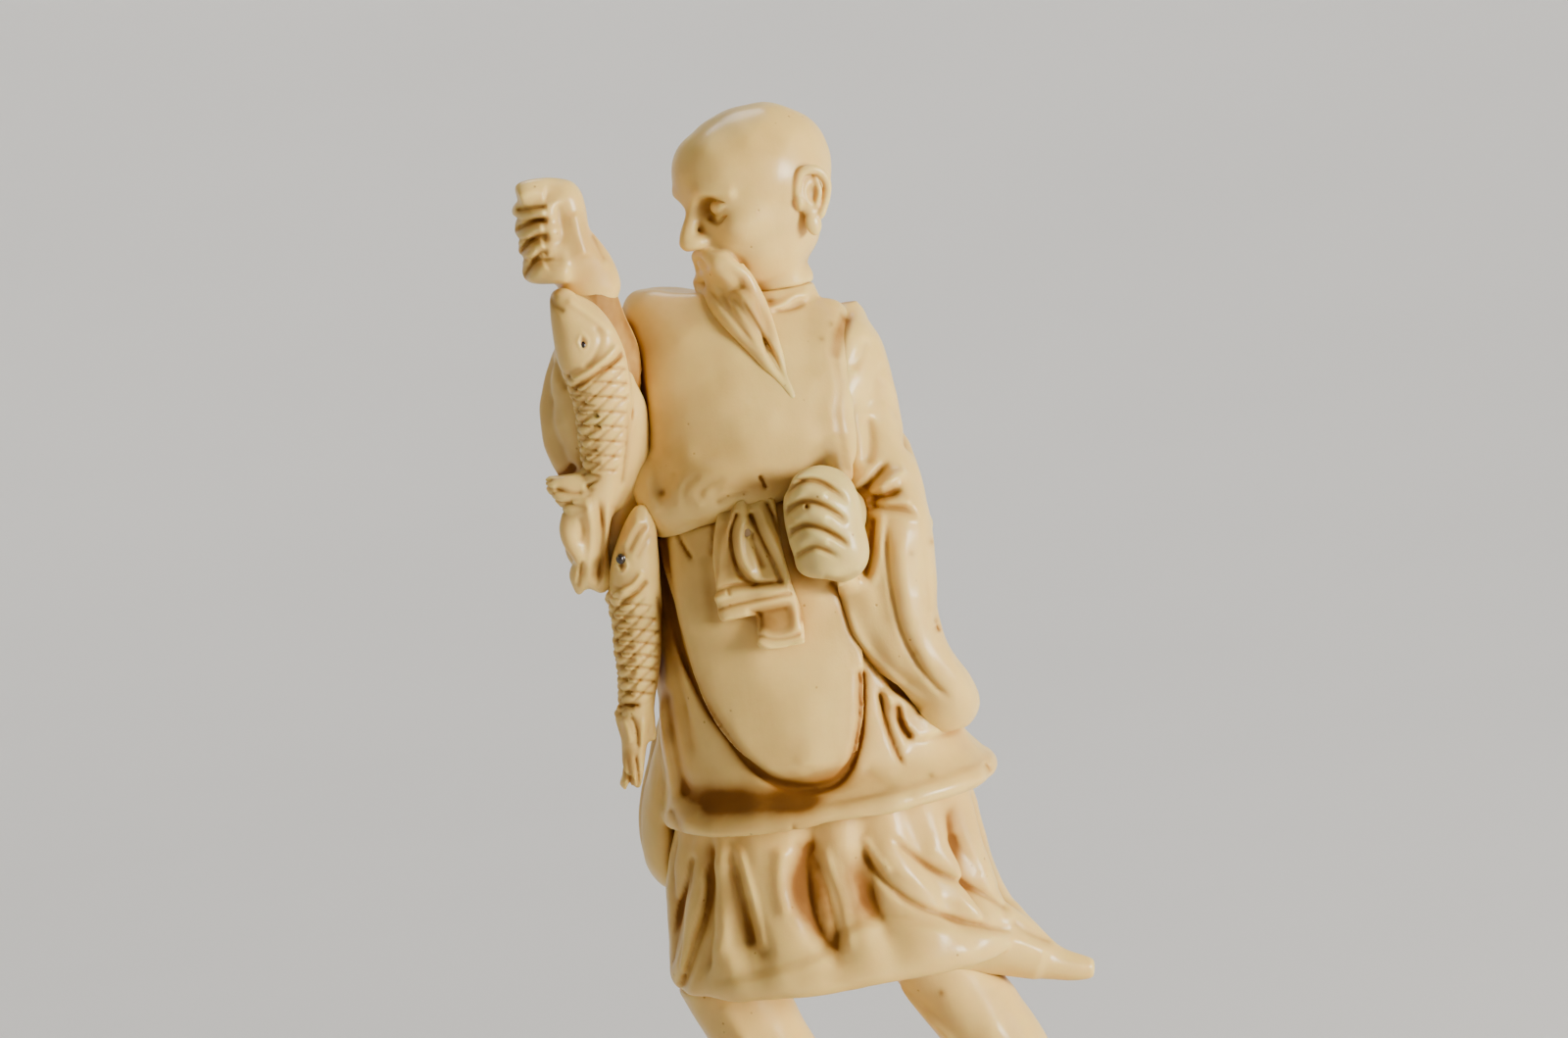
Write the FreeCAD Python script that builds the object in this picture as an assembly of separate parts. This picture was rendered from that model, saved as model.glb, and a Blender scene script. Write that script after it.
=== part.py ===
"""Standing fisherman with two carp, a carved ornament put together from separately carved pieces.

The figure stands on a low piece of rocky ground and faces -Y. X is to the viewer's right and Z is up.
The origin is the middle of the flat underside. Each block is carved by itself and pegged to its neighbour:
the feet to the ground, the legs into the hollow under the lower robe, the lower robe into the hem of the
upper robe, the sleeves to the shoulders, the hands into the cuffs and the head into the collar.
The two carp and the tied sash are pinned on, and the carps' eyes are inlaid.

All lengths are in millimetres. A table whose name ends in shares holds parts of the lengths named beside it.
"""
import FreeCAD
import Part
import math
import os

from FreeCAD import Vector

# What is shared by all pieces
glue_gap = 0.05           # room for glue round every dowel, tenon and inlay
overrun = 1.0             # how far a cutting tool runs past the face that it opens
ring_points = 20          # points on a plain smooth outline
folded_points = 96        # points on an outline that carries folds
LEVEL = (Vector(1, 0, 0), Vector(0, 1, 0))
UP = Vector(0, 0, 1)
RIGHT = Vector(1, 0, 0)
BACK = Vector(0, 1, 0)

# Rocky ground
ground_width = 60.0
ground_depth = 40.0
ground_height = 12.0
ground_lean_shares = (     # height, width
    (0.00, 0.955), (0.22, 1.0), (0.55, 0.975), (0.86, 0.93), (1.00, 0.86))
ground_lobe_shares = (     # lobes round the outline, where the first one lies in turns, depth
    (5, 0.11, 0.030), (8, 0.37, 0.022), (13, 0.60, 0.012))
ground_lobe_breadth_share = 0.3    # of the room from one lobe to the next
ground_lobe_change_share = 0.4     # how much the depths of the lobes differ
ground_lobe_swing_share = 0.477    # how that difference goes on from one lobe to the next, in turns
ground_twist_share = 0.035  # how far the lobes wander round, in turns, from the foot of the rock to its top
ground_squareness = 2.3

# Legs and feet
leg_show = 38.0           # from the ground to the hem of the lower robe
leg_seat = 3.0            # how far the legs reach into the hollow under the hem
shin_width = 12.4
shin_depth = 12.6
foot_length = 20.5
foot_width = 8.6
foot_height = 6.4
toe_turn_shares = (-0.050, 0.045)   # how far each foot is turned out, in turns: right foot, left foot
hip_spacing = 23.4
hip_shift = -3.7          # the middle between the tops of the legs, from the middle of the hem
foot_spacing = 26.0
foot_shift = 4.0          # the middle between the feet, from the middle of the ground
leg_shares = (            # height, how far from the hip's place to the foot's, half width, half depth
    (0.000, 1.00, 0.262, 0.285), (0.085, 1.00, 0.268, 0.290), (0.20, 0.98, 0.285, 0.315),
    (0.42, 0.90, 0.385, 0.440), (0.60, 0.73, 0.445, 0.500), (0.76, 0.46, 0.465, 0.485),
    (0.90, 0.18, 0.475, 0.480), (1.000, 0.00, 0.475, 0.470))
knee_forward = 2.2        # how far the shins stand in front of the ankles at mid height
foot_shares = (           # length from the heel, half width, half height
    (0.00, 0.22, 0.34), (0.05, 0.33, 0.50), (0.22, 0.39, 0.62), (0.42, 0.38, 0.52),
    (0.62, 0.45, 0.40), (0.80, 0.50, 0.32), (0.94, 0.46, 0.25), (1.00, 0.30, 0.14))
heel_behind_share = 0.26  # of the foot's length, from the ankle's axis back to the heel
sole_share = 0.62         # how high the middle of the foot stands, of its half height there

# Lower robe
hem_width = 40.8
hem_depth = 30.0
lower_robe_height = 19.5
lower_robe_seat = 1.6     # how far it stands in the hem of the upper robe
hollow_depth = leg_seat
hollow_rim = 2.6          # thickness of the cloth round the hollow under the hem
lower_robe_shares = (     # height, centre across, centre back, half width, half depth, how deep the folds are
    (0.000, -0.060, -0.020, 0.485, 0.480, 0.15), (0.075, -0.063, -0.024, 0.500, 0.505, 0.25),
    (0.185, -0.068, -0.022, 0.492, 0.490, 0.60), (0.330, -0.076, -0.018, 0.474, 0.462, 1.00),
    (0.580, -0.083, -0.016, 0.458, 0.442, 1.00), (0.840, -0.074, -0.016, 0.434, 0.426, 0.80),
    (1.000, -0.066, -0.018, 0.420, 0.410, 0.45),
    (1.000 + lower_robe_seat / lower_robe_height, -0.066, -0.018, 0.420, 0.410, 0.30))
fold_shares = (           # where a fold lies in turns, at the hem and at the waist, its breadth, its depth
    (0.542, 0.580, 0.015, 0.045), (0.592, 0.618, 0.015, 0.055), (0.672, 0.652, 0.016, 0.065),
    (0.747, 0.737, 0.017, 0.165), (0.793, 0.788, 0.017, 0.110), (0.885, 0.835, 0.016, 0.050),
    (0.940, 0.890, 0.016, 0.050), (0.070, 0.035, 0.018, 0.050), (0.140, 0.125, 0.018, 0.065),
    (0.225, 0.232, 0.019, 0.075), (0.305, 0.300, 0.018, 0.060), (0.385, 0.400, 0.018, 0.060),
    (0.465, 0.490, 0.018, 0.050))
hem_squareness = 2.15
flare_length = 16.4       # the wind-blown corner of the hem, from inside the robe to its tip
flare_drop = 7.4
flare_root = 5.0          # half height where it leaves the robe
flare_lift = 2.8          # its middle above the hem, where it leaves the robe
flare_inside_share = 0.54  # of its length, inside the robe
flare_back_share = -0.08  # where it stands, front to back, of the hem's depth
flare_shares = (          # along the flare, half height, half depth, how far down it has come
    (0.00, 1.00, 1.30, 0.00), (0.22, 0.96, 1.12, 0.14), (0.40, 0.86, 0.90, 0.33),
    (0.56, 0.62, 0.66, 0.59), (0.74, 0.38, 0.44, 0.83), (1.00, 0.20, 0.22, 1.00))

# Upper robe: the skirts from the hem lip up to the waist
robe_width = 38.4
robe_depth = 30.0
skirts_height = 38.5
skirts_shares = (         # height, centre across, centre back, half width, half depth
    (0.000, -0.047, -0.038, 0.487, 0.485), (0.030, -0.044, -0.036, 0.500, 0.500),
    (0.085, -0.052, -0.034, 0.480, 0.470), (0.165, -0.069, -0.032, 0.450, 0.422),
    (0.320, -0.085, -0.032, 0.432, 0.412), (0.530, -0.100, -0.032, 0.412, 0.402),
    (0.740, -0.105, -0.032, 0.381, 0.378), (0.900, -0.105, -0.032, 0.340, 0.340),
    (1.000, -0.105, -0.032, 0.320, 0.320))
skirts_squareness = 2.2
back_flap_width = 5.2
back_flap_depth = 12.0
back_flap_length = 22.5
back_flap_hang = 8.5      # how far it hangs below the hem lip
back_flap_place_shares = (-0.15, 0.17)   # out from the lip's side, of its width; back, of the robe's depth
back_flap_shares = (      # height from its foot, how far in towards the robe, half width, half depth
    (0.00, 0.12, 0.26, 0.30), (0.07, 0.04, 0.42, 0.42), (0.28, 0.00, 0.50, 0.50),
    (0.60, 0.30, 0.46, 0.50), (0.85, 0.66, 0.40, 0.44), (1.00, 0.95, 0.34, 0.38))

# Front panel that hangs from the waist over the skirts
panel_width = 20.2
panel_length = 35.0
panel_shift = -2.3        # its middle, from the middle of the skirts
panel_rise = 3.6          # from the hem lip to its lowest point
panel_thickness = 1.3
panel_shares = (          # across from its middle, height from its lowest point
    (0.21, 0.000), (-0.05, 0.043), (-0.21, 0.118), (-0.345, 0.215), (-0.445, 0.380), (-0.49, 0.600),
    (-0.49, 0.980), (0.50, 0.980), (0.500, 0.480), (0.455, 0.260), (0.375, 0.090))

# Chest, bloused over the waist
chest_width = 27.4
chest_depth = 22.8
chest_height = 22.8
chest_overlap = 2.5       # how far the blouse hangs over the top of the skirts
shoulder_slope = 12.6     # degrees that the shoulder line falls towards the figure's left
chest_shares = (          # height, centre across, centre back, half width, half depth, share of the slope
    (0.00, -0.157, -0.075, 0.450, 0.470, -0.85), (0.07, -0.157, -0.080, 0.490, 0.520, -0.80),
    (0.18, -0.160, -0.075, 0.500, 0.525, -0.55), (0.36, -0.160, -0.062, 0.492, 0.495, -0.10),
    (0.60, -0.158, -0.045, 0.490, 0.440, 0.40), (0.80, -0.158, -0.028, 0.488, 0.368, 0.80),
    (0.93, -0.156, -0.018, 0.455, 0.280, 0.95), (1.00, -0.150, -0.010, 0.350, 0.185, 1.00))
chest_squareness = 2.25
collar_radius = 4.7
collar_foot_radius = 5.8
collar_depth = 5.0        # from its rim down into the shoulders
neck_shift = 4.5          # the neck's middle, from the middle of the shoulder line

# Left sleeve, hanging from the bent arm
left_sleeve_length = 47.2
left_sleeve_width = 11.4
left_sleeve_depth = 20.0
left_sleeve_drop = 4.9    # from the top of the chest to the top of the sleeve
left_sleeve_turn = 24.0   # degrees that its front edge is turned in
left_sleeve_sink = 0.5    # from the chest's side in to the middle of the upper arm
left_sleeve_shares = (    # height, across, back, half width, half depth
    (0.000, 0.29, -0.275, 0.26, 0.17), (0.035, 0.30, -0.275, 0.36, 0.26),
    (0.115, 0.20, -0.285, 0.44, 0.37), (0.245, -0.06, -0.280, 0.42, 0.45),
    (0.355, -0.12, -0.260, 0.49, 0.49), (0.480, -0.10, -0.240, 0.50, 0.51),
    (0.580, -0.08, -0.220, 0.49, 0.48), (0.660, -0.07, -0.150, 0.47, 0.40),
    (0.760, -0.11, -0.070, 0.46, 0.33), (0.910, -0.13, -0.050, 0.44, 0.30),
    (0.970, -0.14, -0.050, 0.37, 0.25), (1.000, -0.15, -0.050, 0.24, 0.17))

# Left hand, a fist turned to the front
left_fist_width = 8.4
left_fist_height = 12.0
left_fist_depth = 8.0
left_fist_place_shares = (-0.53, -0.81, 0.565)   # of the sleeve's width, depth and length
left_wrist_radius = 3.0
left_wrist_length = 7.0
wrist_tenon_radius = 2.2
wrist_tenon = 7.5
wrist_way_shares = (0.45, 0.89, 0.02)   # the way from the left fist back into its cuff

# What both fists share
palm_shares = (           # height, size across, size front to back
    (-0.50, 0.24, 0.26), (-0.40, 0.37, 0.38), (-0.12, 0.43, 0.44), (0.20, 0.43, 0.44), (0.40, 0.37, 0.38),
    (0.50, 0.24, 0.26))
palm_squareness = 2.5
finger_count = 4
finger_pitch_share = 0.205   # of the fist's height, from one finger to the next
finger_first_share = -0.36   # the little finger's height
finger_radius_share = 0.115
finger_reach_shares = (0.40, 0.39)   # how far a finger's middle runs from the palm's: across, front to back
finger_turn_shares = (0.40, 0.50, 0.60, 0.70, 0.785)   # round the palm in turns, from the knuckle to the tip
finger_drop_share = 0.05     # how far a finger drops from its knuckle to its tip
thumb_radius_share = 0.115
thumb_shares = (             # across, front to back, up
    (0.22, 0.16, 0.36), (0.02, -0.12, 0.44), (-0.22, -0.30, 0.45), (-0.42, -0.34, 0.41))

# Right sleeve, pushed down the raised arm
right_sleeve_length = 34.0
right_sleeve_width = 12.4
right_sleeve_depth = 13.4
right_sleeve_rise = 3.4   # how far its cuff stands above the top of the chest
right_sleeve_reach = 3.7  # from the chest's side out to its middle
right_sleeve_shares = (   # height, across, back, half width, half depth
    (0.00, 0.00, -0.24, 0.24, 0.20), (0.06, 0.00, -0.24, 0.37, 0.32), (0.18, -0.01, -0.23, 0.46, 0.40),
    (0.29, 0.03, -0.22, 0.425, 0.41), (0.37, 0.045, -0.22, 0.46, 0.45), (0.52, 0.00, -0.26, 0.50, 0.50),
    (0.70, 0.05, -0.36, 0.46, 0.46), (0.85, 0.09, -0.46, 0.34, 0.34), (0.95, 0.10, -0.53, 0.26, 0.26),
    (1.00, 0.10, -0.55, 0.235, 0.235))
elbow_shares = (0.58, 0.10, -0.12)   # where the upper arm starts in it: height, across, back
shoulder_radius = 5.6
shoulder_reach = 9.0      # of the upper arm's sleeve, into the shoulder
shoulder_height_share = 0.74   # of the chest's height
upper_arm_shares = (      # along from the elbow, half size front to back, half size up
    (0.0, 0.86, 0.92), (0.5, 1.00, 1.00), (1.0, 0.95, 0.95))

# Right hand, a raised fist
right_fist_width = 8.4
right_fist_height = 11.0
right_fist_depth = 7.6
right_fist_place_shares = (-0.28, -0.16)   # its middle from the cuff's: across, front to back
right_wrist_radius = 2.9
right_wrist_length = 1.6

# Head
head_length = 18.8
head_breadth = 14.6
head_height = 19.8
head_turn = 60.0          # degrees that it looks towards the figure's right
head_nod = 6.0            # degrees that it looks down
head_foot_shares = (0.09, -0.02, 0.0)   # of its length, from the neck's middle to under the jaw
neck_length = 1.4         # from the top of the chest to the level of the chin
neck_radius = 3.9
neck_seat = 3.4           # how far the neck stands in the collar
neck_tenon_radius = 2.7
neck_tenon = 6.0
neck_top_shares = (-0.06, 0.0, 0.30)    # forward, left, up
skull_shares = (0.05, 0.00, 0.585, 0.500, 0.500, 0.415)   # forward, left, up, then half sizes
jaw_shares = (0.10, 0.00, 0.310, 0.405, 0.420, 0.315)
ear_shares = (-0.11, 0.465, 0.320, 0.090, 0.050, 0.165)   # on the left, and the same on the right
socket_shares = (0.520, 0.200, 0.520, 0.070, 0.095, 0.050)
eyeball_shares = (0.450, 0.200, 0.510, 0.065, 0.080, 0.048)
nose_shares = (           # forward, up, half width, half thickness
    (0.46, 0.600, 0.050, 0.045), (0.535, 0.520, 0.062, 0.055), (0.585, 0.435, 0.090, 0.062),
    (0.545, 0.385, 0.105, 0.058), (0.49, 0.375, 0.090, 0.045))
brow_shares = (           # forward, out, up, half height: from the bridge of the nose out
    (0.50, 0.00, 0.590, 0.022), (0.515, 0.13, 0.600, 0.028), (0.46, 0.26, 0.600, 0.026),
    (0.36, 0.36, 0.570, 0.018))
moustache_shares = (      # forward, out, up, half height
    (0.53, 0.01, 0.350, 0.026), (0.530, 0.10, 0.320, 0.034), (0.490, 0.19, 0.240, 0.038),
    (0.440, 0.22, 0.130, 0.026))
beard_length = 18.2       # from the lower lip to its tip on the chest
beard_width = 7.0
beard_thickness = 3.4
beard_bow = 0.8           # how far its middle is blown towards the figure's right
beard_tip_shift = 0.5     # where its tip lies on the chest, from the neck's middle
beard_root_shares = (0.42, 0.0, 0.27)
beard_shares = (          # along the beard, half width, half thickness
    (0.00, 0.38, 0.42), (0.12, 0.47, 0.50), (0.30, 0.44, 0.48), (0.55, 0.32, 0.42),
    (0.80, 0.17, 0.34), (0.95, 0.08, 0.26), (1.00, 0.05, 0.20))
strand_share = 0.56       # half width of each of its two strands, of the beard's half width there

# The two carp
upper_carp_length = 34.6
upper_carp_width = 6.4
upper_carp_thickness = 5.2
upper_carp_place = (-1.0, -2.9, 0.5)   # its mouth from the middle of the cuff: across, back, up
upper_carp_shares = (     # along from the mouth, across, back, half width, half thickness
    (0.000, -0.34, 0.00, 0.10, 0.12), (0.025, -0.28, -0.06, 0.21, 0.27), (0.060, -0.14, -0.12, 0.33, 0.38),
    (0.120, -0.03, -0.20, 0.43, 0.46), (0.210, 0.08, -0.24, 0.50, 0.50), (0.375, 0.12, -0.18, 0.50, 0.50),
    (0.500, 0.04, -0.04, 0.45, 0.48), (0.605, -0.05, 0.10, 0.37, 0.44), (0.745, -0.32, 0.26, 0.29, 0.34),
    (0.865, -0.46, 0.40, 0.30, 0.27), (0.975, -0.58, 0.48, 0.34, 0.22), (1.000, -0.60, 0.50, 0.26, 0.14))
lower_carp_length = 32.7
lower_carp_width = 6.0
lower_carp_thickness = 5.6
lower_carp_shift = -0.5   # its mouth from the side of the skirts, across
lower_carp_back_share = -0.24   # of the robe's depth
lower_carp_rise = 1.5     # its mouth above the lower edge of the blouse
lower_carp_shares = (
    (0.000, 0.38, -0.42, 0.10, 0.12), (0.045, 0.32, -0.40, 0.25, 0.28), (0.140, 0.17, -0.32, 0.40, 0.44),
    (0.230, 0.07, -0.22, 0.47, 0.50), (0.350, -0.02, -0.12, 0.50, 0.50), (0.475, -0.08, -0.06, 0.48, 0.48),
    (0.600, -0.18, 0.00, 0.40, 0.42), (0.720, -0.32, 0.04, 0.32, 0.36), (0.840, -0.45, 0.08, 0.25, 0.30),
    (0.930, -0.55, 0.10, 0.22, 0.26), (1.000, -0.62, 0.12, 0.16, 0.16))
fin_thickness = 1.1
fork_width_share = 0.9    # of the tail's half width
fork_depth_share = 0.06   # of the carp's length
upper_fin_shares = ((0.585, -0.30), (0.615, -0.98), (0.650, -0.90), (0.700, -0.55))   # along, across
lower_fin_shares = ((0.66, -0.50), (0.705, -0.74), (0.80, -0.68), (0.825, -0.50))
carp_eye_radius = 0.55
carp_eye_depth = 1.3
carp_eye_stands = 0.15    # how far an eye stands out of its socket
upper_eye_shares = (0.178, -0.03)   # along, across
lower_eye_shares = (0.165, -0.13)
upper_pin_shares = (0.42, 0.0)      # where each is pinned on: along, across
lower_pin_shares = (0.34, 0.2)

# Sash, tied in front
sash_length = 13.2
sash_width = 8.6
sash_thickness = 2.4
sash_shift = -2.7         # its middle, from the middle of the waist
sash_lean_share = 1.1     # how far its lower end stands forward, of its thickness
sash_squareness = 4.0
sash_shares = (           # along from the knot, across, half width, half thickness
    (0.00, 0.12, 0.26, 0.40), (0.22, 0.02, 0.38, 0.50), (0.50, -0.01, 0.46, 0.46),
    (0.84, -0.03, 0.49, 0.44), (0.93, -0.02, 0.50, 0.60), (1.00, -0.01, 0.49, 0.48))
sash_end_length = 16.8
sash_end_width = 5.2
sash_end_thickness = 1.9
sash_end_shares = (       # the second end, from behind the first
    (0.00, 0.42, 0.28, 0.40), (0.30, 0.42, 0.32, 0.50), (0.70, 0.44, 0.44, 0.50),
    (0.92, 0.45, 0.50, 0.60), (1.00, 0.45, 0.48, 0.45))
sash_pin_share = 0.2      # where it is pinned on, of its length below the blouse
sash_loop_length = 9.4
sash_loop_width = 3.0
sash_loop_thickness = 1.8
sash_loop_shares = (      # the loop of the bow, a leaf that lies on the first end
    (0.00, 0.10, 0.10, 0.20), (0.20, -0.12, 0.34, 0.50), (0.50, -0.16, 0.50, 0.55),
    (0.80, 0.02, 0.36, 0.50), (1.00, 0.26, 0.12, 0.20))

# Dowels and pins
waist_dowel_radius = 1.3
waist_dowel_length = 11.0
waist_dowel_spacing = 14.0
sleeve_dowel_radius = 1.1
sleeve_dowel_length = 7.0
leg_dowel_radius = 1.2
leg_dowel_length = 10.0
foot_dowel_radius = 0.9
foot_dowel_length = 9.0
carp_pin_radius = 0.6
carp_pin_length = 4.4
sash_pin_radius = 0.6
sash_pin_length = 4.4

# Levels that the pieces share
hem_level = ground_height + leg_show
lip_level = hem_level + lower_robe_height
waist_level = lip_level + skirts_height
chest_level = waist_level - chest_overlap
shoulder_level = chest_level + chest_height
chin_level = shoulder_level + neck_length

# Places across the figure that the pieces share
hem_across = hem_width * lower_robe_shares[0][1]
waist_across = robe_width * skirts_shares[-1][1]
skirts_side = robe_width * (skirts_shares[5][1] - skirts_shares[5][3])
chest_left_side = chest_width * (chest_shares[4][1] + chest_shares[4][3])
chest_right_side = chest_width * (chest_shares[5][1] - chest_shares[5][3])
neck_across = chest_width * chest_shares[-1][1] + neck_shift
left_sleeve_across = chest_left_side - left_sleeve_sink
right_sleeve_across = chest_right_side - right_sleeve_reach


def ring(centre, half_width, half_depth, axes=LEVEL, squareness=2.0, folds=(), points=ring_points):
    """A closed smooth outline round centre. Each fold is where it lies in turns, its breadth and its depth."""
    across, along = axes
    places = []
    for step in range(points):
        turn = step / points
        reach = 1.0
        for at, breadth, depth in folds:
            off = (turn - at + 0.5) % 1.0 - 0.5
            reach -= depth * math.exp(-(off / breadth) ** 2)
        c = math.cos(2 * math.pi * turn)
        s = math.sin(2 * math.pi * turn)
        u = math.copysign(abs(c) ** (2 / squareness), c) * half_width * reach
        v = math.copysign(abs(s) ** (2 / squareness), s) * half_depth * reach
        places.append(centre + across * u + along * v)
    curve = Part.BSplineCurve()
    curve.interpolate(Points=places, PeriodicFlag=True,
                      Parameters=[step / points for step in range(points + 1)])
    return Part.Wire(curve.toShape())


def loft(rings):
    """One smooth solid through closed outlines, the right way out."""
    solid = Part.makeLoft(rings, True, False)
    if solid.Volume < 0:
        solid.reverse()
    return solid


def turned_axes(degrees):
    """Level axes, turned about the vertical."""
    a = math.radians(degrees)
    return Vector(math.cos(a), math.sin(a), 0), Vector(-math.sin(a), math.cos(a), 0)


def sloped_axes(degrees):
    """Axes of an outline that falls towards +X."""
    a = math.radians(degrees)
    return Vector(math.cos(a), 0, -math.sin(a)), BACK


def limb(stations, side, squareness=2.0):
    """A solid along a path. Each station is (place, half size along side, half size square to it)."""
    rings = []
    last = len(stations) - 1
    for n, (place, half_side, half_other) in enumerate(stations):
        way = stations[min(n + 1, last)][0] - stations[max(n - 1, 0)][0]
        way.normalize()
        across = side - way * side.dot(way)
        across.normalize()
        rings.append(ring(place, half_side, half_other, (across, way.cross(across)), squareness))
    return loft(rings)


def ellipsoid(centre, half_sizes, axes):
    """A ball stretched to three half sizes along three square axes."""
    one, two, three = (axis * half for axis, half in zip(axes, half_sizes))
    matrix = FreeCAD.Matrix(one.x, two.x, three.x, centre.x,
                            one.y, two.y, three.y, centre.y,
                            one.z, two.z, three.z, centre.z,
                            0, 0, 0, 1)
    return Part.makeSphere(1).transformGeometry(matrix)


def dowel(middle, way, radius, length):
    """A round peg about its middle."""
    way = Vector(way)
    way.normalize()
    return Part.makeCylinder(radius, length, middle - way * (length / 2), way)


def dowel_hole(middle, way, radius, length):
    """The hole that a dowel is glued into."""
    return dowel(middle, way, radius + glue_gap, length + 2 * glue_gap)


def largest(shape):
    """The main solid of a shape, without the chips that a cut leaves."""
    return max(shape.Solids, key=lambda solid: solid.Volume)


def fused(first, *others):
    """One solid out of pieces that run into each other."""
    return largest(first.multiFuse(list(others)))


def seated(piece, *seats):
    """A piece cut back to the pieces that it is fitted against."""
    for seat in seats:
        piece = piece.cut(seat)
    return largest(piece)


# Rocky ground

def ground():
    rings = []
    for height, width in ground_lean_shares:
        half_width = ground_width * width / 2
        half_depth = half_width * ground_depth / ground_width
        folds = []
        for count, first, depth in ground_lobe_shares:
            for lobe in range(count):
                at = (first + lobe / count + ground_twist_share * height) % 1.0
                change = ground_lobe_change_share * math.sin(2 * math.pi * ground_lobe_swing_share * lobe)
                folds.append((at, ground_lobe_breadth_share / count, depth * (1 + change)))
        rings.append(ring(Vector(0, 0, ground_height * height), half_width, half_depth,
                          squareness=ground_squareness, folds=folds, points=folded_points))
    return loft(rings)


# Legs

def hip_place(side):
    """Where a leg meets the lower robe. side is -1 for the figure's right leg, and 1 for its left."""
    return Vector(hem_across + hip_shift + side * hip_spacing / 2, 0, hem_level + hollow_depth)


def ankle_place(side):
    return Vector(foot_shift + side * foot_spacing / 2, 0, ground_height)


def foot_axes(side):
    """Towards the toes, and across the foot."""
    turn = 2 * math.pi * toe_turn_shares[0 if side < 0 else 1]
    return Vector(math.sin(turn), -math.cos(turn), 0), Vector(math.cos(turn), math.sin(turn), 0)


def leg(side):
    hip = hip_place(side)
    ankle = ankle_place(side)
    shin = []
    for height, toward_foot, half_width, half_depth in leg_shares:
        place = hip + (ankle - hip) * toward_foot
        place.z = ankle.z + (hip.z - ankle.z) * height
        place.y = -knee_forward * math.sin(math.pi * height)
        shin.append(ring(place, shin_width * half_width, shin_depth * half_depth))
    toes, across = foot_axes(side)
    heel = ankle - toes * (foot_length * heel_behind_share)
    stations = []
    for along, half_width, half_height in foot_shares:
        place = heel + toes * (foot_length * along) + UP * (foot_height * half_height * sole_share)
        stations.append((place, foot_width * half_width, foot_height * half_height))
    below = Part.makeBox(ground_width, ground_width, foot_height,
                         ankle - Vector(ground_width / 2, ground_width / 2, foot_height))
    return fused(loft(shin), seated(limb(stations, across), below))


# Lower robe

def lower_robe_ring(shares, rim=0.0, folds=fold_shares):
    height, across, back, half_width, half_depth, fold_depth = shares
    centre = Vector(hem_width * across, hem_depth * back, hem_level + lower_robe_height * height)
    cut = [(hem + (waist - hem) * height, breadth, depth * fold_depth)
           for hem, waist, breadth, depth in folds]
    return ring(centre, hem_width * half_width - rim, hem_depth * half_depth - rim,
                squareness=hem_squareness, folds=cut, points=folded_points)


def flare():
    """The corner of the hem that the wind lifts, on the figure's left."""
    edge = hem_width * (lower_robe_shares[1][1] + lower_robe_shares[1][3])
    root = Vector(edge - flare_length * flare_inside_share, hem_depth * flare_back_share,
                  hem_level + flare_lift)
    stations = []
    for along, half_height, half_depth, down in flare_shares:
        place = root + Vector(flare_length * along, 0, -flare_drop * down)
        stations.append((place, flare_root * half_depth, flare_root * half_height))
    return limb(stations, BACK)


def hollow():
    """The space under the hem that the legs stand in."""
    foot = lower_robe_shares[0]
    mouth = (-overrun / lower_robe_height,) + foot[1:]
    roof = (hollow_depth / lower_robe_height,) + foot[1:]
    return loft([lower_robe_ring(mouth, hollow_rim, ()), lower_robe_ring(roof, hollow_rim, ())])


def lower_robe():
    robe = fused(loft([lower_robe_ring(shares) for shares in lower_robe_shares]), flare())
    return seated(robe, hollow())


def outside_hollow():
    """What lies round the hollow above the hem, where no leg may reach."""
    corner = Vector(-ground_width / 2, -ground_width / 2, hem_level)
    return Part.makeBox(ground_width, ground_width, hollow_depth + overrun, corner).cut(hollow())


# Upper robe

def skirts(growth=0.0):
    rings = []
    for height, across, back, half_width, half_depth in skirts_shares:
        centre = Vector(robe_width * across, robe_depth * back, lip_level + skirts_height * height)
        rings.append(ring(centre, robe_width * half_width + growth, robe_depth * half_depth + growth,
                          squareness=skirts_squareness))
    return loft(rings)


def back_flap():
    """The end of the outer robe that hangs lower at the back, on the figure's right."""
    edge = robe_width * (skirts_shares[1][1] - skirts_shares[1][3])
    out, back = back_flap_place_shares
    foot = Vector(edge + back_flap_width * out, robe_depth * back, lip_level - back_flap_hang)
    rings = []
    for height, inward, half_width, half_depth in back_flap_shares:
        centre = foot + Vector(back_flap_width * inward, 0, back_flap_length * height)
        rings.append(ring(centre, back_flap_width * half_width, back_flap_depth * half_depth))
    return loft(rings)


def panel():
    """The tongue of cloth in front: its outline, cut out of skirts grown by its thickness."""
    foot = Vector(robe_width * skirts_shares[4][1] + panel_shift, -robe_depth, lip_level + panel_rise)
    places = [foot + Vector(panel_width * across, 0, panel_length * up) for across, up in panel_shares]
    curve = Part.BSplineCurve()
    curve.interpolate(Points=places, PeriodicFlag=True)
    outline = Part.Face(Part.Wire(curve.toShape())).extrude(BACK * robe_depth)
    return outline.common(skirts(panel_thickness))


def chest():
    rings = []
    for height, across, back, half_width, half_depth, slope in chest_shares:
        centre = Vector(chest_width * across, chest_depth * back, chest_level + chest_height * height)
        rings.append(ring(centre, chest_width * half_width, chest_depth * half_depth,
                          sloped_axes(shoulder_slope * slope), squareness=chest_squareness))
    return loft(rings)


def collar():
    """The rolled neckband that the neck stands in."""
    foot = Vector(neck_across, 0, shoulder_level - collar_depth)
    return Part.makeCone(collar_foot_radius, collar_radius, collar_depth, foot)


def upper_robe():
    return fused(skirts(), back_flap(), largest(panel()), chest(), collar())


# Sleeves and hands

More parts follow.
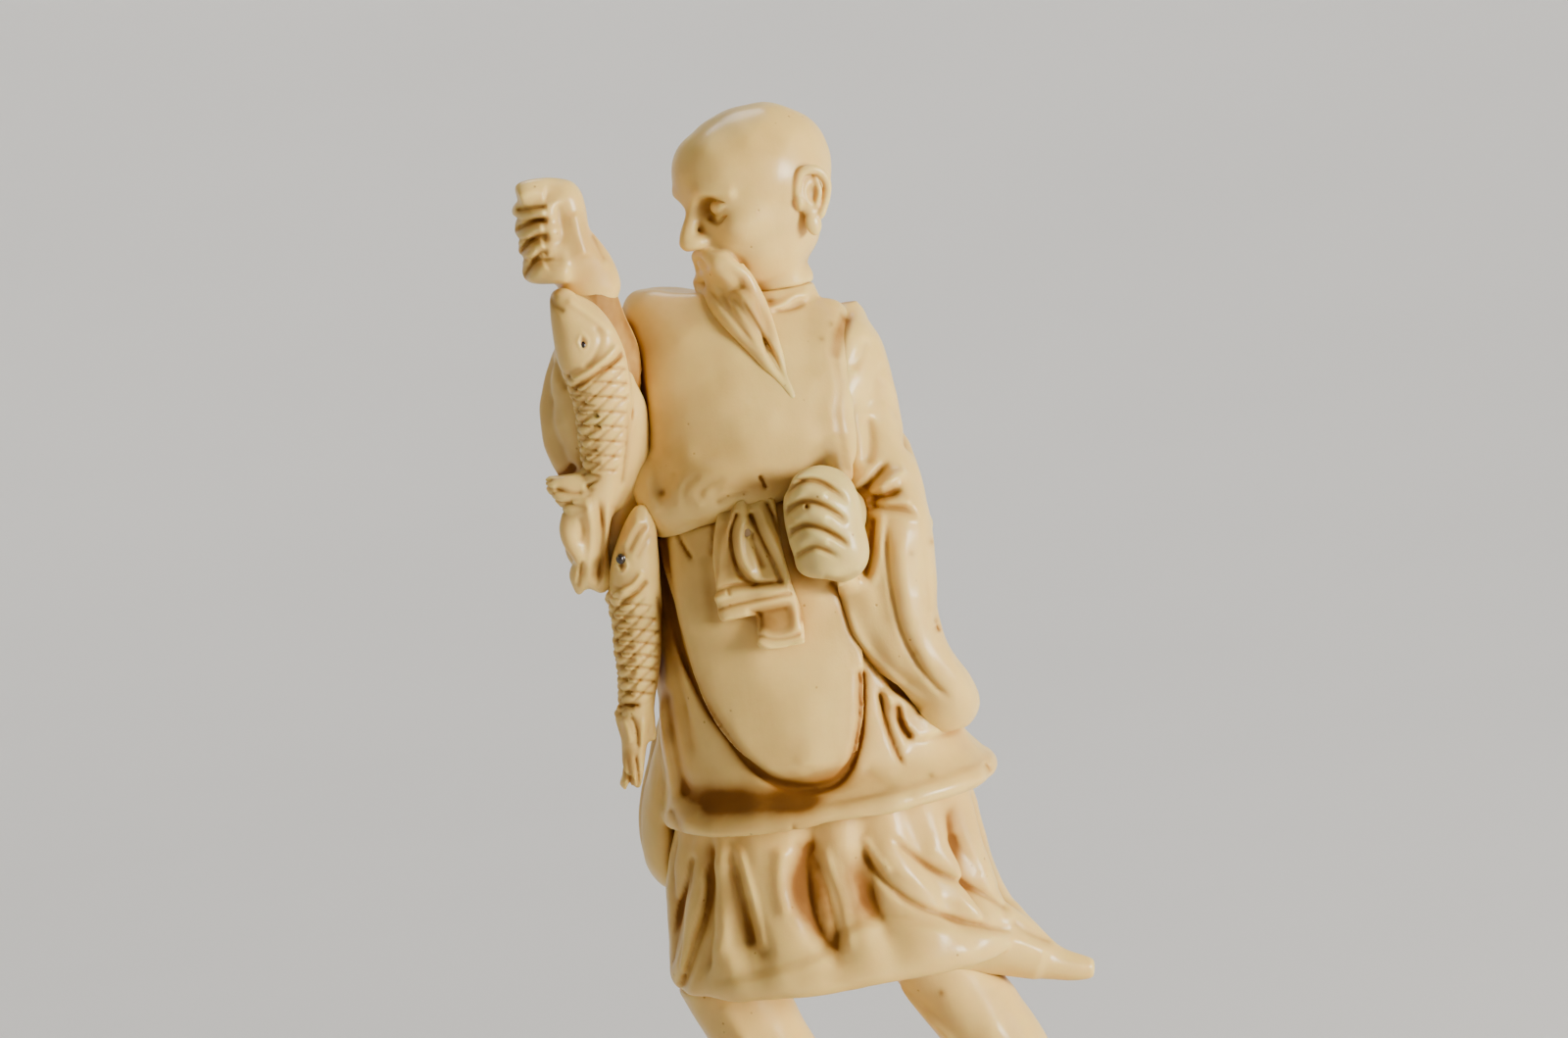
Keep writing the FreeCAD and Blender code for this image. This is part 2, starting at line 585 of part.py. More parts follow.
def left_sleeve_place(shares):
    height, across, back = shares
    return Vector(left_sleeve_across + left_sleeve_width * across, left_sleeve_depth * back,
                  shoulder_level - left_sleeve_drop - left_sleeve_length * (1 - height))


def left_sleeve():
    rings = []
    for height, across, back, half_width, half_depth in left_sleeve_shares:
        rings.append(ring(left_sleeve_place((height, across, back)), left_sleeve_width * half_width,
                          left_sleeve_depth * half_depth, turned_axes(left_sleeve_turn * (1 - height ** 4))))
    return loft(rings)


def fist(middle, width, depth, height):
    """A closed hand: the palm, four fingers folded round its outer side, and the thumb over them."""
    palm = limb([(middle + UP * (height * up), width * across, depth * back)
                 for up, across, back in palm_shares], RIGHT, palm_squareness)
    reach_across, reach_back = finger_reach_shares
    radius = height * finger_radius_share
    digits = []
    for finger in range(finger_count):
        up = finger_first_share + finger_pitch_share * finger
        stations = []
        for n, turn in enumerate(finger_turn_shares):
            angle = 2 * math.pi * turn
            drop = finger_drop_share * n / (len(finger_turn_shares) - 1)
            off = Vector(width * reach_across * math.cos(angle), depth * reach_back * math.sin(angle),
                         height * (up - drop))
            stations.append((middle + off, radius, radius))
        digits.append(limb(stations, UP))
    thumb_radius = height * thumb_radius_share
    thumb = limb([(middle + Vector(width * across, depth * back, height * up), thumb_radius, thumb_radius)
                  for across, back, up in thumb_shares], UP)
    return fused(palm, *digits, thumb)


def left_fist_middle():
    across, back, height = left_fist_place_shares
    return left_sleeve_place((height, across, 0)) + BACK * (left_sleeve_depth * back)


def left_wrist_way():
    """From the fist back into the cuff."""
    way = Vector(*wrist_way_shares)
    way.normalize()
    return way


def left_hand():
    middle = left_fist_middle()
    wrist = Part.makeCylinder(left_wrist_radius, left_wrist_length, middle, left_wrist_way())
    return fused(fist(middle, left_fist_width, left_fist_depth, left_fist_height), wrist)


def left_tenon(gap=0.0):
    reach = left_wrist_length + wrist_tenon
    return Part.makeCylinder(wrist_tenon_radius + gap, reach + gap, left_fist_middle(), left_wrist_way())


def right_sleeve_place(height, across, back):
    foot = shoulder_level + right_sleeve_rise - right_sleeve_length
    return Vector(right_sleeve_across + right_sleeve_width * across, right_sleeve_depth * back,
                  foot + right_sleeve_length * height)


def right_sleeve():
    rings = []
    for height, across, back, half_width, half_depth in right_sleeve_shares:
        rings.append(ring(right_sleeve_place(height, across, back), right_sleeve_width * half_width,
                          right_sleeve_depth * half_depth))
    elbow = right_sleeve_place(*elbow_shares)
    shoulder = Vector(chest_right_side + shoulder_reach / 2, 0,
                      chest_level + chest_height * shoulder_height_share)
    stations = [(elbow + (shoulder - elbow) * along, shoulder_radius * half_back, shoulder_radius * half_up)
                for along, half_back, half_up in upper_arm_shares]
    upper_arm = limb(stations, BACK)
    return fused(loft(rings), upper_arm)


def right_cuff():
    height, across, back = right_sleeve_shares[-1][:3]
    return right_sleeve_place(height, across, back)


def right_fist_middle():
    across, back = right_fist_place_shares
    return right_cuff() + Vector(right_fist_width * across, right_fist_depth * back,
                                 right_wrist_length + right_fist_height / 2)


def right_hand():
    middle = right_fist_middle()
    knuckles = fist(middle, right_fist_width, right_fist_depth, right_fist_height)
    cuff = right_cuff()
    wrist = limb([(cuff, right_wrist_radius, right_wrist_radius),
                  (cuff + UP * right_wrist_length, right_wrist_radius, right_wrist_radius),
                  ((cuff + middle) / 2 + UP * right_wrist_length, right_wrist_radius, right_wrist_radius),
                  (middle, right_wrist_radius, right_wrist_radius)], RIGHT)
    return fused(knuckles, wrist)


def right_tenon(gap=0.0):
    cuff = right_cuff()
    return Part.makeCylinder(wrist_tenon_radius + gap, wrist_tenon + overrun + gap, cuff + UP * overrun, -UP)


# Head

def head_axes():
    """Forward out of the face, to the head's left, and up, with the nod."""
    turn = math.radians(head_turn)
    nod = math.radians(head_nod)
    level = Vector(-math.sin(turn), -math.cos(turn), 0)
    left = Vector(math.cos(turn), -math.sin(turn), 0)
    forward = level * math.cos(nod) - UP * math.sin(nod)
    up = UP * math.cos(nod) + level * math.sin(nod)
    return forward, left, up


def head_place(forward_share, left_share, up_share):
    """A point of the head, in shares of its length, breadth and height from under the middle of the jaw."""
    forward, left, up = head_axes()
    foot = Vector(neck_across, 0, chin_level) + Vector(*head_foot_shares) * head_length
    return (foot + forward * (head_length * forward_share) + left * (head_breadth * left_share)
            + up * (head_height * up_share))


def head_lump(shares):
    """An ellipsoid of the head: forward, left, up, then its half sizes, all in shares of the head's sizes."""
    sizes = (head_length * shares[3], head_breadth * shares[4], head_height * shares[5])
    return ellipsoid(head_place(*shares[:3]), sizes, head_axes())


def nose():
    left = head_axes()[1]
    return limb([(head_place(ahead, 0, up), head_breadth * half_width, head_length * half_thickness)
                 for ahead, up, half_width, half_thickness in nose_shares], left)


def face_roll(shares, side):
    """A brow or one side of the moustache, from the middle of the face out to one side."""
    return limb([(head_place(ahead, side * out, up), head_height * half, head_height * half)
                 for ahead, out, up, half in shares], UP)


def neck():
    foot = Vector(neck_across, 0, shoulder_level - neck_seat)
    top = head_place(*neck_top_shares)
    return limb([(foot, neck_radius, neck_radius), ((foot + top) / 2, neck_radius, neck_radius),
                 (top, neck_radius, neck_radius)], BACK)


def beard_strand(side):
    """One of the two strands, side by side down to their shared tip on the chest."""
    root = head_place(*beard_root_shares)
    tip = Vector(neck_across + beard_tip_shift, chest_depth * (chest_shares[4][2] - chest_shares[4][4]),
                 root.z - beard_length)
    left = head_axes()[1]
    stations = []
    for along, half_width, half_thickness in beard_shares:
        half = beard_width * half_width
        place = root + (tip - root) * along - RIGHT * (beard_bow * math.sin(math.pi * along))
        place += left * (side * half * (1 - strand_share))
        stations.append((place, half * strand_share, beard_thickness * half_thickness))
    return limb(stations, left)


def neck_tenon_peg(gap=0.0):
    foot = shoulder_level - neck_seat - neck_tenon
    return Part.makeCylinder(neck_tenon_radius + gap, neck_tenon + overrun + gap,
                             Vector(neck_across, 0, foot - gap), UP)


def mirrored(shares, side):
    """The shares of a lump on the head's left, or of its twin on the right."""
    return (shares[0], side * shares[1]) + tuple(shares[2:])


def head():
    block = fused(head_lump(skull_shares), head_lump(jaw_shares), neck())
    sockets = [head_lump(mirrored(socket_shares, side)) for side in (-1, 1)]
    added = [nose()]
    for side in (-1, 1):
        added.append(head_lump(mirrored(eyeball_shares, side)))
        added.append(head_lump(mirrored(ear_shares, side)))
        added.append(face_roll(brow_shares, side))
        added.append(face_roll(moustache_shares, side))
        added.append(beard_strand(side))
    return fused(seated(block, *sockets), *added)


# Carp

def carp_place(frame, along, across, back=0.0):
    """A point of a carp, in shares of its length, width and thickness from its mouth."""
    mouth, length, width, thickness = frame
    return mouth + Vector(width * across, thickness * back, -length * along)


def tail_fork(frame, shares):
    """The notch between the two lobes of the tail."""
    mouth, length, width, thickness = frame
    end = carp_place(frame, *shares[-1][:3])
    half = width * shares[-1][3] * fork_width_share
    foot = end - UP * overrun
    corners = [foot - RIGHT * half, end + UP * (length * fork_depth_share), foot + RIGHT * half]
    wedge = Part.Face(Part.makePolygon(corners + corners[:1])).extrude(BACK * (2 * thickness))
    wedge.translate(-BACK * thickness)
    return wedge


def carp(frame, shares, fin_shares):
    """A carp that hangs by its mouth, with a fin that stands out towards -X."""
    mouth, length, width, thickness = frame
    rings = [ring(carp_place(frame, *row[:3]), width * row[3], thickness * row[4]) for row in shares]
    edge = [carp_place(frame, along, across) for along, across in fin_shares]
    root = carp_place(frame, fin_shares[0][0], 0)
    blade = Part.Face(Part.makePolygon([root] + edge + [carp_place(frame, fin_shares[-1][0], 0), root]))
    fin = blade.extrude(BACK * fin_thickness)
    fin.translate(-BACK * (fin_thickness / 2))
    return seated(fused(loft(rings), fin), tail_fork(frame, shares))


def upper_carp_frame():
    """Where its mouth is, just above the cuff that it hangs at, and its length, width and thickness."""
    return right_cuff() + Vector(*upper_carp_place), upper_carp_length, upper_carp_width, upper_carp_thickness


def lower_carp_frame():
    """Where its mouth is, tucked under the blouse, and its length, width and thickness."""
    mouth = Vector(skirts_side + lower_carp_shift, robe_depth * lower_carp_back_share,
                   chest_level + lower_carp_rise)
    return mouth, lower_carp_length, lower_carp_width, lower_carp_thickness


def carp_eye_place(frame, shares, eye):
    """On the front of a carp, where its eye is set."""
    along, across = eye
    before = max(row for row in shares if row[0] <= along)
    after = min(row for row in shares if row[0] > along)
    mix = (along - before[0]) / (after[0] - before[0])
    back = before[2] + (after[2] - before[2]) * mix
    half = before[4] + (after[4] - before[4]) * mix
    return carp_place(frame, along, across, back - half)


def carp_eye(place, gap=0.0):
    start = place - BACK * carp_eye_stands
    return Part.makeCylinder(carp_eye_radius + gap, carp_eye_depth + gap, start, BACK)


# Sash

def sash_strip(length, width, thickness, shares, forward):
    """A strip of the sash that hangs from the knot."""
    top = Vector(waist_across + sash_shift, robe_depth * (skirts_shares[6][2] - skirts_shares[6][4]) - forward,
                 chest_level + chest_overlap / 2)
    lean = sash_thickness * sash_lean_share / sash_length
    stations = []
    for along, across, half_width, half_thickness in shares:
        place = top + Vector(width * across, -lean * length * along, -length * along)
        stations.append((place, width * half_width, thickness * half_thickness))
    return limb(stations, RIGHT, sash_squareness)


def sash():
    front = sash_strip(sash_length, sash_width, sash_thickness, sash_shares, 0)
    second = sash_strip(sash_end_length, sash_end_width, sash_end_thickness, sash_end_shares, 0)
    loop = sash_strip(sash_loop_length, sash_loop_width, sash_loop_thickness, sash_loop_shares,
                      sash_thickness / 2)
    return fused(front, second, loop)


# Where the dowels go

def waist_dowels():
    middle = Vector(hem_width * lower_robe_shares[-1][1], 0, lip_level + lower_robe_seat)
    return [(middle + RIGHT * (side * waist_dowel_spacing / 2), UP) for side in (-1, 1)]


def sleeve_dowels():
    """Across the shoulders: their middles lie in the faces between the chest and the sleeves."""
    left_row, right_row = chest_shares[4], chest_shares[5]
    left = Vector(chest_left_side - sleeve_dowel_length / 4, chest_depth * left_row[2],
                  chest_level + chest_height * left_row[0])
    right = Vector(chest_right_side, chest_depth * right_row[2], chest_level + chest_height * right_row[0])
    return [(right, RIGHT), (left, RIGHT)]


def leg_dowels():
    return [(hip_place(side), UP) for side in (-1, 1)]


def foot_dowels():
    return [(ankle_place(side), UP) for side in (-1, 1)]


def pin_middle(piece, place):
    """The middle of a pin along Y: where a line through the place comes out of the back of the piece."""
    line = Part.makeLine(place - BACK * robe_depth, place + BACK * robe_depth)
    return Vector(place.x, max(edge.BoundBox.YMax for edge in line.common(piece).Edges), place.z)


def drilled(piece, holes, radius, length):
    """A piece with the holes for its dowels."""
    for middle, way in holes:
        piece = piece.cut(dowel_hole(middle, way, radius, length))
    return largest(piece)


def dowels(holes, radius, length):
    return Part.makeCompound([dowel(middle, way, radius, length) for middle, way in holes])


def build():
    """Every piece by name, cut to its neighbours in the order in which a carver would fit them."""
    rock = ground()
    lower = lower_robe()
    right_leg, left_leg = (seated(leg(side), outside_hollow(), lower) for side in (-1, 1))
    upper = seated(upper_robe(), lower)
    arm_left = seated(left_sleeve(), upper, lower)
    arm_right = seated(right_sleeve(), upper, lower)
    hand_left = fused(seated(left_hand(), upper, arm_left), left_tenon())
    hand_right = fused(seated(right_hand(), arm_right), right_tenon())
    arm_left = arm_left.cut(left_tenon(glue_gap))
    arm_right = arm_right.cut(right_tenon(glue_gap))
    upper = upper.cut(left_tenon(glue_gap)).cut(right_tenon(glue_gap))
    skull = fused(seated(head(), upper), neck_tenon_peg())
    upper = upper.cut(neck_tenon_peg(glue_gap))
    knot = seated(sash(), upper, hand_left)

    upper_frame = upper_carp_frame()
    lower_frame = lower_carp_frame()
    upper_fish = carp(upper_frame, upper_carp_shares, upper_fin_shares)
    upper_fish = seated(upper_fish, arm_right, upper, hand_right)
    lower_fish = carp(lower_frame, lower_carp_shares, lower_fin_shares)
    lower_fish = seated(lower_fish, upper, arm_right, lower, upper_fish)
    upper_eye = carp_eye_place(upper_frame, upper_carp_shares, upper_eye_shares)
    lower_eye = carp_eye_place(lower_frame, lower_carp_shares, lower_eye_shares)
    upper_fish = upper_fish.cut(carp_eye(upper_eye, glue_gap))
    lower_fish = lower_fish.cut(carp_eye(lower_eye, glue_gap))
    upper_pin = pin_middle(upper_fish, carp_place(upper_frame, *upper_pin_shares))
    lower_pin = pin_middle(lower_fish, carp_place(lower_frame, *lower_pin_shares))
    knot_level = chest_level - sash_length * sash_pin_share
    knot_pin = pin_middle(knot, Vector(waist_across + sash_shift, 0, knot_level))
    pins = [(upper_pin, BACK), (lower_pin, BACK)]

    waist = waist_dowels()
    sleeves = sleeve_dowels()
    hips = leg_dowels()
    feet = foot_dowels()
    upper = drilled(upper, waist, waist_dowel_radius, waist_dowel_length)
    lower = drilled(lower, waist, waist_dowel_radius, waist_dowel_length)
    upper = drilled(upper, sleeves, sleeve_dowel_radius, sleeve_dowel_length)
    arm_left = drilled(arm_left, sleeves, sleeve_dowel_radius, sleeve_dowel_length)
    arm_right = drilled(arm_right, sleeves, sleeve_dowel_radius, sleeve_dowel_length)
    lower = drilled(lower, hips, leg_dowel_radius, leg_dowel_length)
    right_leg, left_leg = (
        drilled(drilled(piece, hips, leg_dowel_radius, leg_dowel_length),
                feet, foot_dowel_radius, foot_dowel_length) for piece in (right_leg, left_leg))
    rock = drilled(rock, feet, foot_dowel_radius, foot_dowel_length)
    upper = drilled(upper, pins, carp_pin_radius, carp_pin_length)
    arm_right = drilled(arm_right, pins, carp_pin_radius, carp_pin_length)
    upper_fish = drilled(upper_fish, pins, carp_pin_radius, carp_pin_length)
    lower_fish = drilled(lower_fish, pins, carp_pin_radius, carp_pin_length)
    upper = drilled(upper, [(knot_pin, BACK)], sash_pin_radius, sash_pin_length)
    knot = drilled(knot, [(knot_pin, BACK)], sash_pin_radius, sash_pin_length)

    return {
        "ground_rock": rock,
        "right_leg": right_leg,
        "left_leg": left_leg,
        "lower_robe": lower,
        "upper_robe": upper,
        "left_sleeve": arm_left,
        "right_sleeve": arm_right,
        "left_hand": hand_left,
        "right_hand": hand_right,
        "head": skull,
        "sash": knot,
        "upper_carp": upper_fish,
        "lower_carp": lower_fish,
        "carp_eyes": Part.makeCompound([carp_eye(upper_eye), carp_eye(lower_eye)]),
        "waist_dowels": dowels(waist, waist_dowel_radius, waist_dowel_length),
        "sleeve_dowels": dowels(sleeves, sleeve_dowel_radius, sleeve_dowel_length),
        "leg_dowels": dowels(hips, leg_dowel_radius, leg_dowel_length),
        "foot_dowels": dowels(feet, foot_dowel_radius, foot_dowel_length),
        "carp_pins": dowels(pins, carp_pin_radius, carp_pin_length),
        "sash_pin": dowels([(knot_pin, BACK)], sash_pin_radius, sash_pin_length),
    }


os.makedirs("parts", exist_ok=True)
for name, shape in build().items():
    shape.exportStep(os.path.join("parts", name + ".step"))
    print(name, len(shape.Solids), "solid", shape.isValid(), round(shape.Volume, 1), "mm3")
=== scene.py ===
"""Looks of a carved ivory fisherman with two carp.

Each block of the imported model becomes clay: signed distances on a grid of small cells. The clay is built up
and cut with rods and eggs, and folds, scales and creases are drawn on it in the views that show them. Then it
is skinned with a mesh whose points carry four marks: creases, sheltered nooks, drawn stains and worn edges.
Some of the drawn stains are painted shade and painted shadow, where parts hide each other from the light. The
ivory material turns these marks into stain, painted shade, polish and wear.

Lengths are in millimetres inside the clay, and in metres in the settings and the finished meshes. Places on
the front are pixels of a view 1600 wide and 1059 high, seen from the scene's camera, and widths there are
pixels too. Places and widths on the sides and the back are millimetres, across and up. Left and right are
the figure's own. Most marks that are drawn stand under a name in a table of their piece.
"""
import functools
import math

import bpy
import numpy as np
import openvdb
from bpy.props import FloatProperty, FloatVectorProperty, PointerProperty
from mathutils import Euler, Matrix, Vector


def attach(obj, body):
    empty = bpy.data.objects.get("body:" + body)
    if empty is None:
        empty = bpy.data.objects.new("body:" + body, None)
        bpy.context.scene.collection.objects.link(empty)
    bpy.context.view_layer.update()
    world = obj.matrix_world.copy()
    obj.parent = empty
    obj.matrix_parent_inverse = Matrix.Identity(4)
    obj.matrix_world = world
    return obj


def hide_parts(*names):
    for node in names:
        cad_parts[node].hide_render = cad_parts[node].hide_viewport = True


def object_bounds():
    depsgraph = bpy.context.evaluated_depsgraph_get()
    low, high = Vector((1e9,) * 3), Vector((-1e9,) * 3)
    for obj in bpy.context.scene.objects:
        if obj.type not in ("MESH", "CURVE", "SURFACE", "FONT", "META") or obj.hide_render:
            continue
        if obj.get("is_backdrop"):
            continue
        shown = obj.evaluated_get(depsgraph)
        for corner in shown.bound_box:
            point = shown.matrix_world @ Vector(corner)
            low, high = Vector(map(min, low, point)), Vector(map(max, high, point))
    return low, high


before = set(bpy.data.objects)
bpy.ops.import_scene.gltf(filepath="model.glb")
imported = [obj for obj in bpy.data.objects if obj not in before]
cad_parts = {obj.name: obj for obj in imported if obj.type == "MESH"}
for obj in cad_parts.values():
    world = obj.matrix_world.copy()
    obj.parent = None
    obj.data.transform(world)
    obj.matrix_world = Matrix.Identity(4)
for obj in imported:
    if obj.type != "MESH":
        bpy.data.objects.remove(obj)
cad_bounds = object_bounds()

bl_info = {
    "name": "Carved fisherman",
    "version": (1, 0, 0),
    "blender": (4, 5, 0),
    "location": "3D View > Sidebar > Carving",
    "description": "Carves and finishes the blocks of a small ivory figure",
    "category": "Object",
}

MM = 1000.0
BODY = "root"


# Views that folds and marks are drawn in

class PhotoView:
    """The camera's own view, in pixels from the top left corner. pitch is the size of a pixel at the target.
    hand is 1 where the second coordinate runs down the picture, and -1 where it runs up."""
    width, height = 1600, 1059
    hand = 1
    target = np.array([-2.24, 0.0, 101.94])
    distance = 520.0
    pitch = 0.112
    elevation = math.radians(7.0)
    roll = math.radians(8.5)

    def spots(self, x, y, z):
        """Where places are seen."""
        rise = z - self.target[2]
        ce, se = math.cos(self.elevation), math.sin(self.elevation)
        depth = (self.distance + y * ce - rise * se) / self.distance
        across = (x - self.target[0]) / depth
        up = (rise * ce + y * se) / depth
        cr, sr = math.cos(self.roll), math.sin(self.roll)
        return (self.width / 2 + (cr * across - sr * up) / self.pitch,
                self.height / 2 - (sr * across + cr * up) / self.pitch)

    def facing(self, nx, ny, nz):
        """How squarely a surface faces the viewer, from -1 to 1."""
        return -ny * math.cos(self.elevation) + nz * math.sin(self.elevation)

    def place(self, u, v, y):
        """The place that is seen at a pixel, as far back as y."""
        a, b = (u - self.width / 2) * self.pitch, (self.height / 2 - v) * self.pitch
        cr, sr = math.cos(self.roll), math.sin(self.roll)
        ce, se = math.cos(self.elevation), math.sin(self.elevation)
        across, up = cr * a + sr * b, cr * b - sr * a
        rise = (up * (self.distance + y * ce) / self.distance - y * se) / (ce + up * se / self.distance)
        depth = (self.distance + y * ce - rise * se) / self.distance
        return (self.target[0] + across * depth, y, self.target[2] + rise)


class FlatView:
    """A view square to the figure: across, up and towards the viewer are unit directions."""
    hand = -1

    def __init__(self, across, up, toward):
        self.across, self.up, self.toward = across, up, toward

    def spots(self, x, y, z):
        a, b = self.across, self.up
        return a[0] * x + a[1] * y + a[2] * z, b[0] * x + b[1] * y + b[2] * z

    def facing(self, nx, ny, nz):
        t = self.toward
        return t[0] * nx + t[1] * ny + t[2] * nz


PHOTO = PhotoView()
BACK = FlatView((-1, 0, 0), (0, 0, 1), (0, 1, 0))
LEFT = FlatView((0, 1, 0), (0, 0, 1), (1, 0, 0))
RIGHT = FlatView((0, -1, 0), (0, 0, 1), (-1, 0, 0))


def ease(low, high, value):
    """From 0 at low to 1 at high, with soft ends."""
    t = np.clip((value - low) / (high - low), 0.0, 1.0)
    return t * t * (3.0 - 2.0 * t)


def flowing(places, steps=8):
    """A smooth path through places."""
    p = np.array(places, float)
    p = np.vstack([2 * p[0] - p[1], p, 2 * p[-1] - p[-2]])
    out = []
    for n in range(1, len(p) - 2):
        a, b, c, d = p[n - 1], p[n], p[n + 1], p[n + 2]
        for t in np.linspace(0, 1, steps, endpoint=False):
            out.append(0.5 * (2 * b + (c - a) * t + (2 * a - 5 * b + 4 * c - d) * t ** 2
                              + (3 * b - a - 3 * c + d) * t ** 3))
    out.append(p[-2])
    return np.array(out)


class Drawing:
    """Heights in millimetres and stains from 0 to 1, drawn over a window of a view. Some of the stains are
    painted shade and painted shadow.
    """

    def __init__(self, view, left, low, right, high, fineness=1.0):
        self.view = view
        self.corner = np.array([left, low], float)
        self.fineness = fineness
        shape = (int((right - left) * fineness) + 2, int((high - low) * fineness) + 2)
        self.height = np.zeros(shape, np.float32)
        self.stain = np.zeros(shape, np.float32)

    def near(self, path, room):
        """The part of the window round a path, and the places of its samples."""
        low = np.floor((path.min(0) - room - self.corner) * self.fineness).astype(int)
        high = np.ceil((path.max(0) + room - self.corner) * self.fineness).astype(int) + 1
        low = np.clip(low, 0, self.height.shape)
        high = np.clip(high, 0, self.height.shape)
        u = self.corner[0] + np.arange(low[0], high[0]) / self.fineness
        v = self.corner[1] + np.arange(low[1], high[1]) / self.fineness
        return (slice(low[0], high[0]), slice(low[1], high[1])), u[:, None], v[None, :]

    @staticmethod
    def measure(path, u, v):
        """How far each sample is from a path, how far along it, and on which side of it: 1 is the left."""
        best = np.full((u.shape[0], v.shape[1]), 1e9)
        along = np.zeros_like(best)
        side = np.zeros_like(best)
        last = len(path) - 1
        for n in range(last):
            a, way = path[n], path[n + 1] - path[n]
            size = float(way @ way) + 1e-9
            t = np.clip(((u - a[0]) * way[0] + (v - a[1]) * way[1]) / size, 0, 1)
            du, dv = u - a[0] - t * way[0], v - a[1] - t * way[1]
            d = du * du + dv * dv
            closer = d < best
            best = np.where(closer, d, best)
            along = np.where(closer, (n + t) / last, along)
            side = np.where(closer, np.sign(way[1] * du - way[0] * dv), side)
        return np.sqrt(best), along, side

    @staticmethod
    def fade(along, ends):
        """The strength along a path that fades in and out over the shares of it in ends."""
        start, stop = ends
        value = np.ones_like(along)
        if start:
            value = value * ease(0, start, along)
        if stop:
            value = value * ease(0, stop, 1 - along)
        return value

    def groove(self, places, width, depth, stain=0.0, ends=(0.15, 0.15)):
        """A cut with soft sides. A negative depth gives a raised rib."""
        path = flowing(places)
        area, u, v = self.near(path, 3 * width)
        off, along, _ = self.measure(path, u, v)
        bowl = np.exp(-(off / width) ** 2) * self.fade(along, ends)
        self.height[area] -= depth * bowl
        if stain:
            soak = 0.45 * np.exp(-(off / (2.6 * width)) ** 2) + 0.55 * np.exp(-(off / (1.1 * width)) ** 2)
            self.stain[area] = np.maximum(self.stain[area], stain * soak * self.fade(along, ends))

    def rib(self, places, width, height, ends=(0.15, 0.15)):
        self.groove(places, width, -height, 0.0, ends)

    def lap(self, places, height, fade, edge=1.5, stain=0.0, ends=(0.12, 0.12)):
        """One cloth over another: the left of the path is raised, and settles back over about fade."""
        path = flowing(places)
        area, u, v = self.near(path, 3 * fade)
        off, along, side = self.measure(path, u, v)
        signed = off * side * self.view.hand
        step = ease(-edge, edge, signed) * np.exp(-np.clip(signed, 0, None) / fade)
        strength = self.fade(along, ends)
        self.height[area] += height * step * strength
        if stain:
            foot = np.exp(-((signed + edge) / (1.6 * edge)) ** 2) * strength
            self.stain[area] = np.maximum(self.stain[area], stain * foot)

    def inside(self, places, soft):
        """How far each sample lies inside an outline, eased over soft, from 0 outside to 1 inside."""
        path = flowing(list(places) + [places[0]], 6)
        area, u, v = self.near(path, soft)
        off = self.measure(path, u, v)[0]
        within = np.zeros(off.shape, bool)
        for a, b in zip(path[:-1], path[1:]):
            if a[1] == b[1]:
                continue
            crosses = (a[1] > v) != (b[1] > v)
            within ^= crosses & (u < (b[0] - a[0]) * (v - a[1]) / (b[1] - a[1]) + a[0])
        return area, ease(-soft, soft, np.where(within, off, -off))

    def patch(self, places, height, soft, stain=0.0):
        """A raised place, or a sunk one where height is negative."""
        area, share = self.inside(places, soft)
        self.height[area] += height * share
        if stain:
            self.stain[area] = np.maximum(self.stain[area], stain * share)

    def dot(self, place, width, height, stain=0.0):
        """A round bump, or a pit where height is negative."""
        self.groove([place, (place[0] + 0.01, place[1])], width, -height, stain, (0, 0))

    def hatch(self, places, angle, pitch, width, depth, stain, shift=0.0, soft=5.0):
        """Evenly spaced cuts inside an outline, turned from level by an angle in degrees."""
        area, share = self.inside(places, soft)
        u = self.corner[0] + np.arange(area[0].start, area[0].stop) / self.fineness
        v = self.corner[1] + np.arange(area[1].start, area[1].stop) / self.fineness
        turn = math.radians(angle)
        across = (v[None, :] * math.cos(turn) - u[:, None] * math.sin(turn) + shift) / pitch
        off = np.abs(across - np.round(across)) * pitch
        self.height[area] -= depth * np.exp(-(off / width) ** 2) * share
        soaked = stain * np.exp(-(off / (1.4 * width)) ** 2) * share
        self.stain[area] = np.maximum(self.stain[area], soaked)

    def draw(self, marks):
        """Draws a table of named marks, in its order."""
        for mark, *values in marks.values():
            mark(self, *values)

    def sample(self, table, x, y, z):
        """The values of the drawing's heights or stains at places of the figure."""
        u, v = self.view.spots(x, y, z)
        i = (u - self.corner[0]) * self.fineness
        j = (v - self.corner[1]) * self.fineness
        rows, columns = table.shape
        seen = (i >= 0) & (j >= 0) & (i < rows - 1) & (j < columns - 1)
        i = np.clip(i, 0, rows - 1.001)
        j = np.clip(j, 0, columns - 1.001)
        i0, j0 = i.astype(int), j.astype(int)
        fi, fj = i - i0, j - j0
        value = (table[i0, j0] * (1 - fi) * (1 - fj) + table[i0 + 1, j0] * fi * (1 - fj)
                 + table[i0, j0 + 1] * (1 - fi) * fj + table[i0 + 1, j0 + 1] * fi * fj)
        return np.where(seen, value, 0.0)


# The kinds of mark in the tables. A row gives the kind, the places, and then: a groove its width, depth,
# stain and ends; a rib its width, height and ends; a dot its width, height and stain; a patch its height,
# soft edge and stain; a lap its height, fade, edge, stain and ends. In the marks named as shade or shadow, the
# stain is painted shade or painted shadow.
GROOVE, RIB, DOT, PATCH, LAP = Drawing.groove, Drawing.rib, Drawing.dot, Drawing.patch, Drawing.lap


# Clay

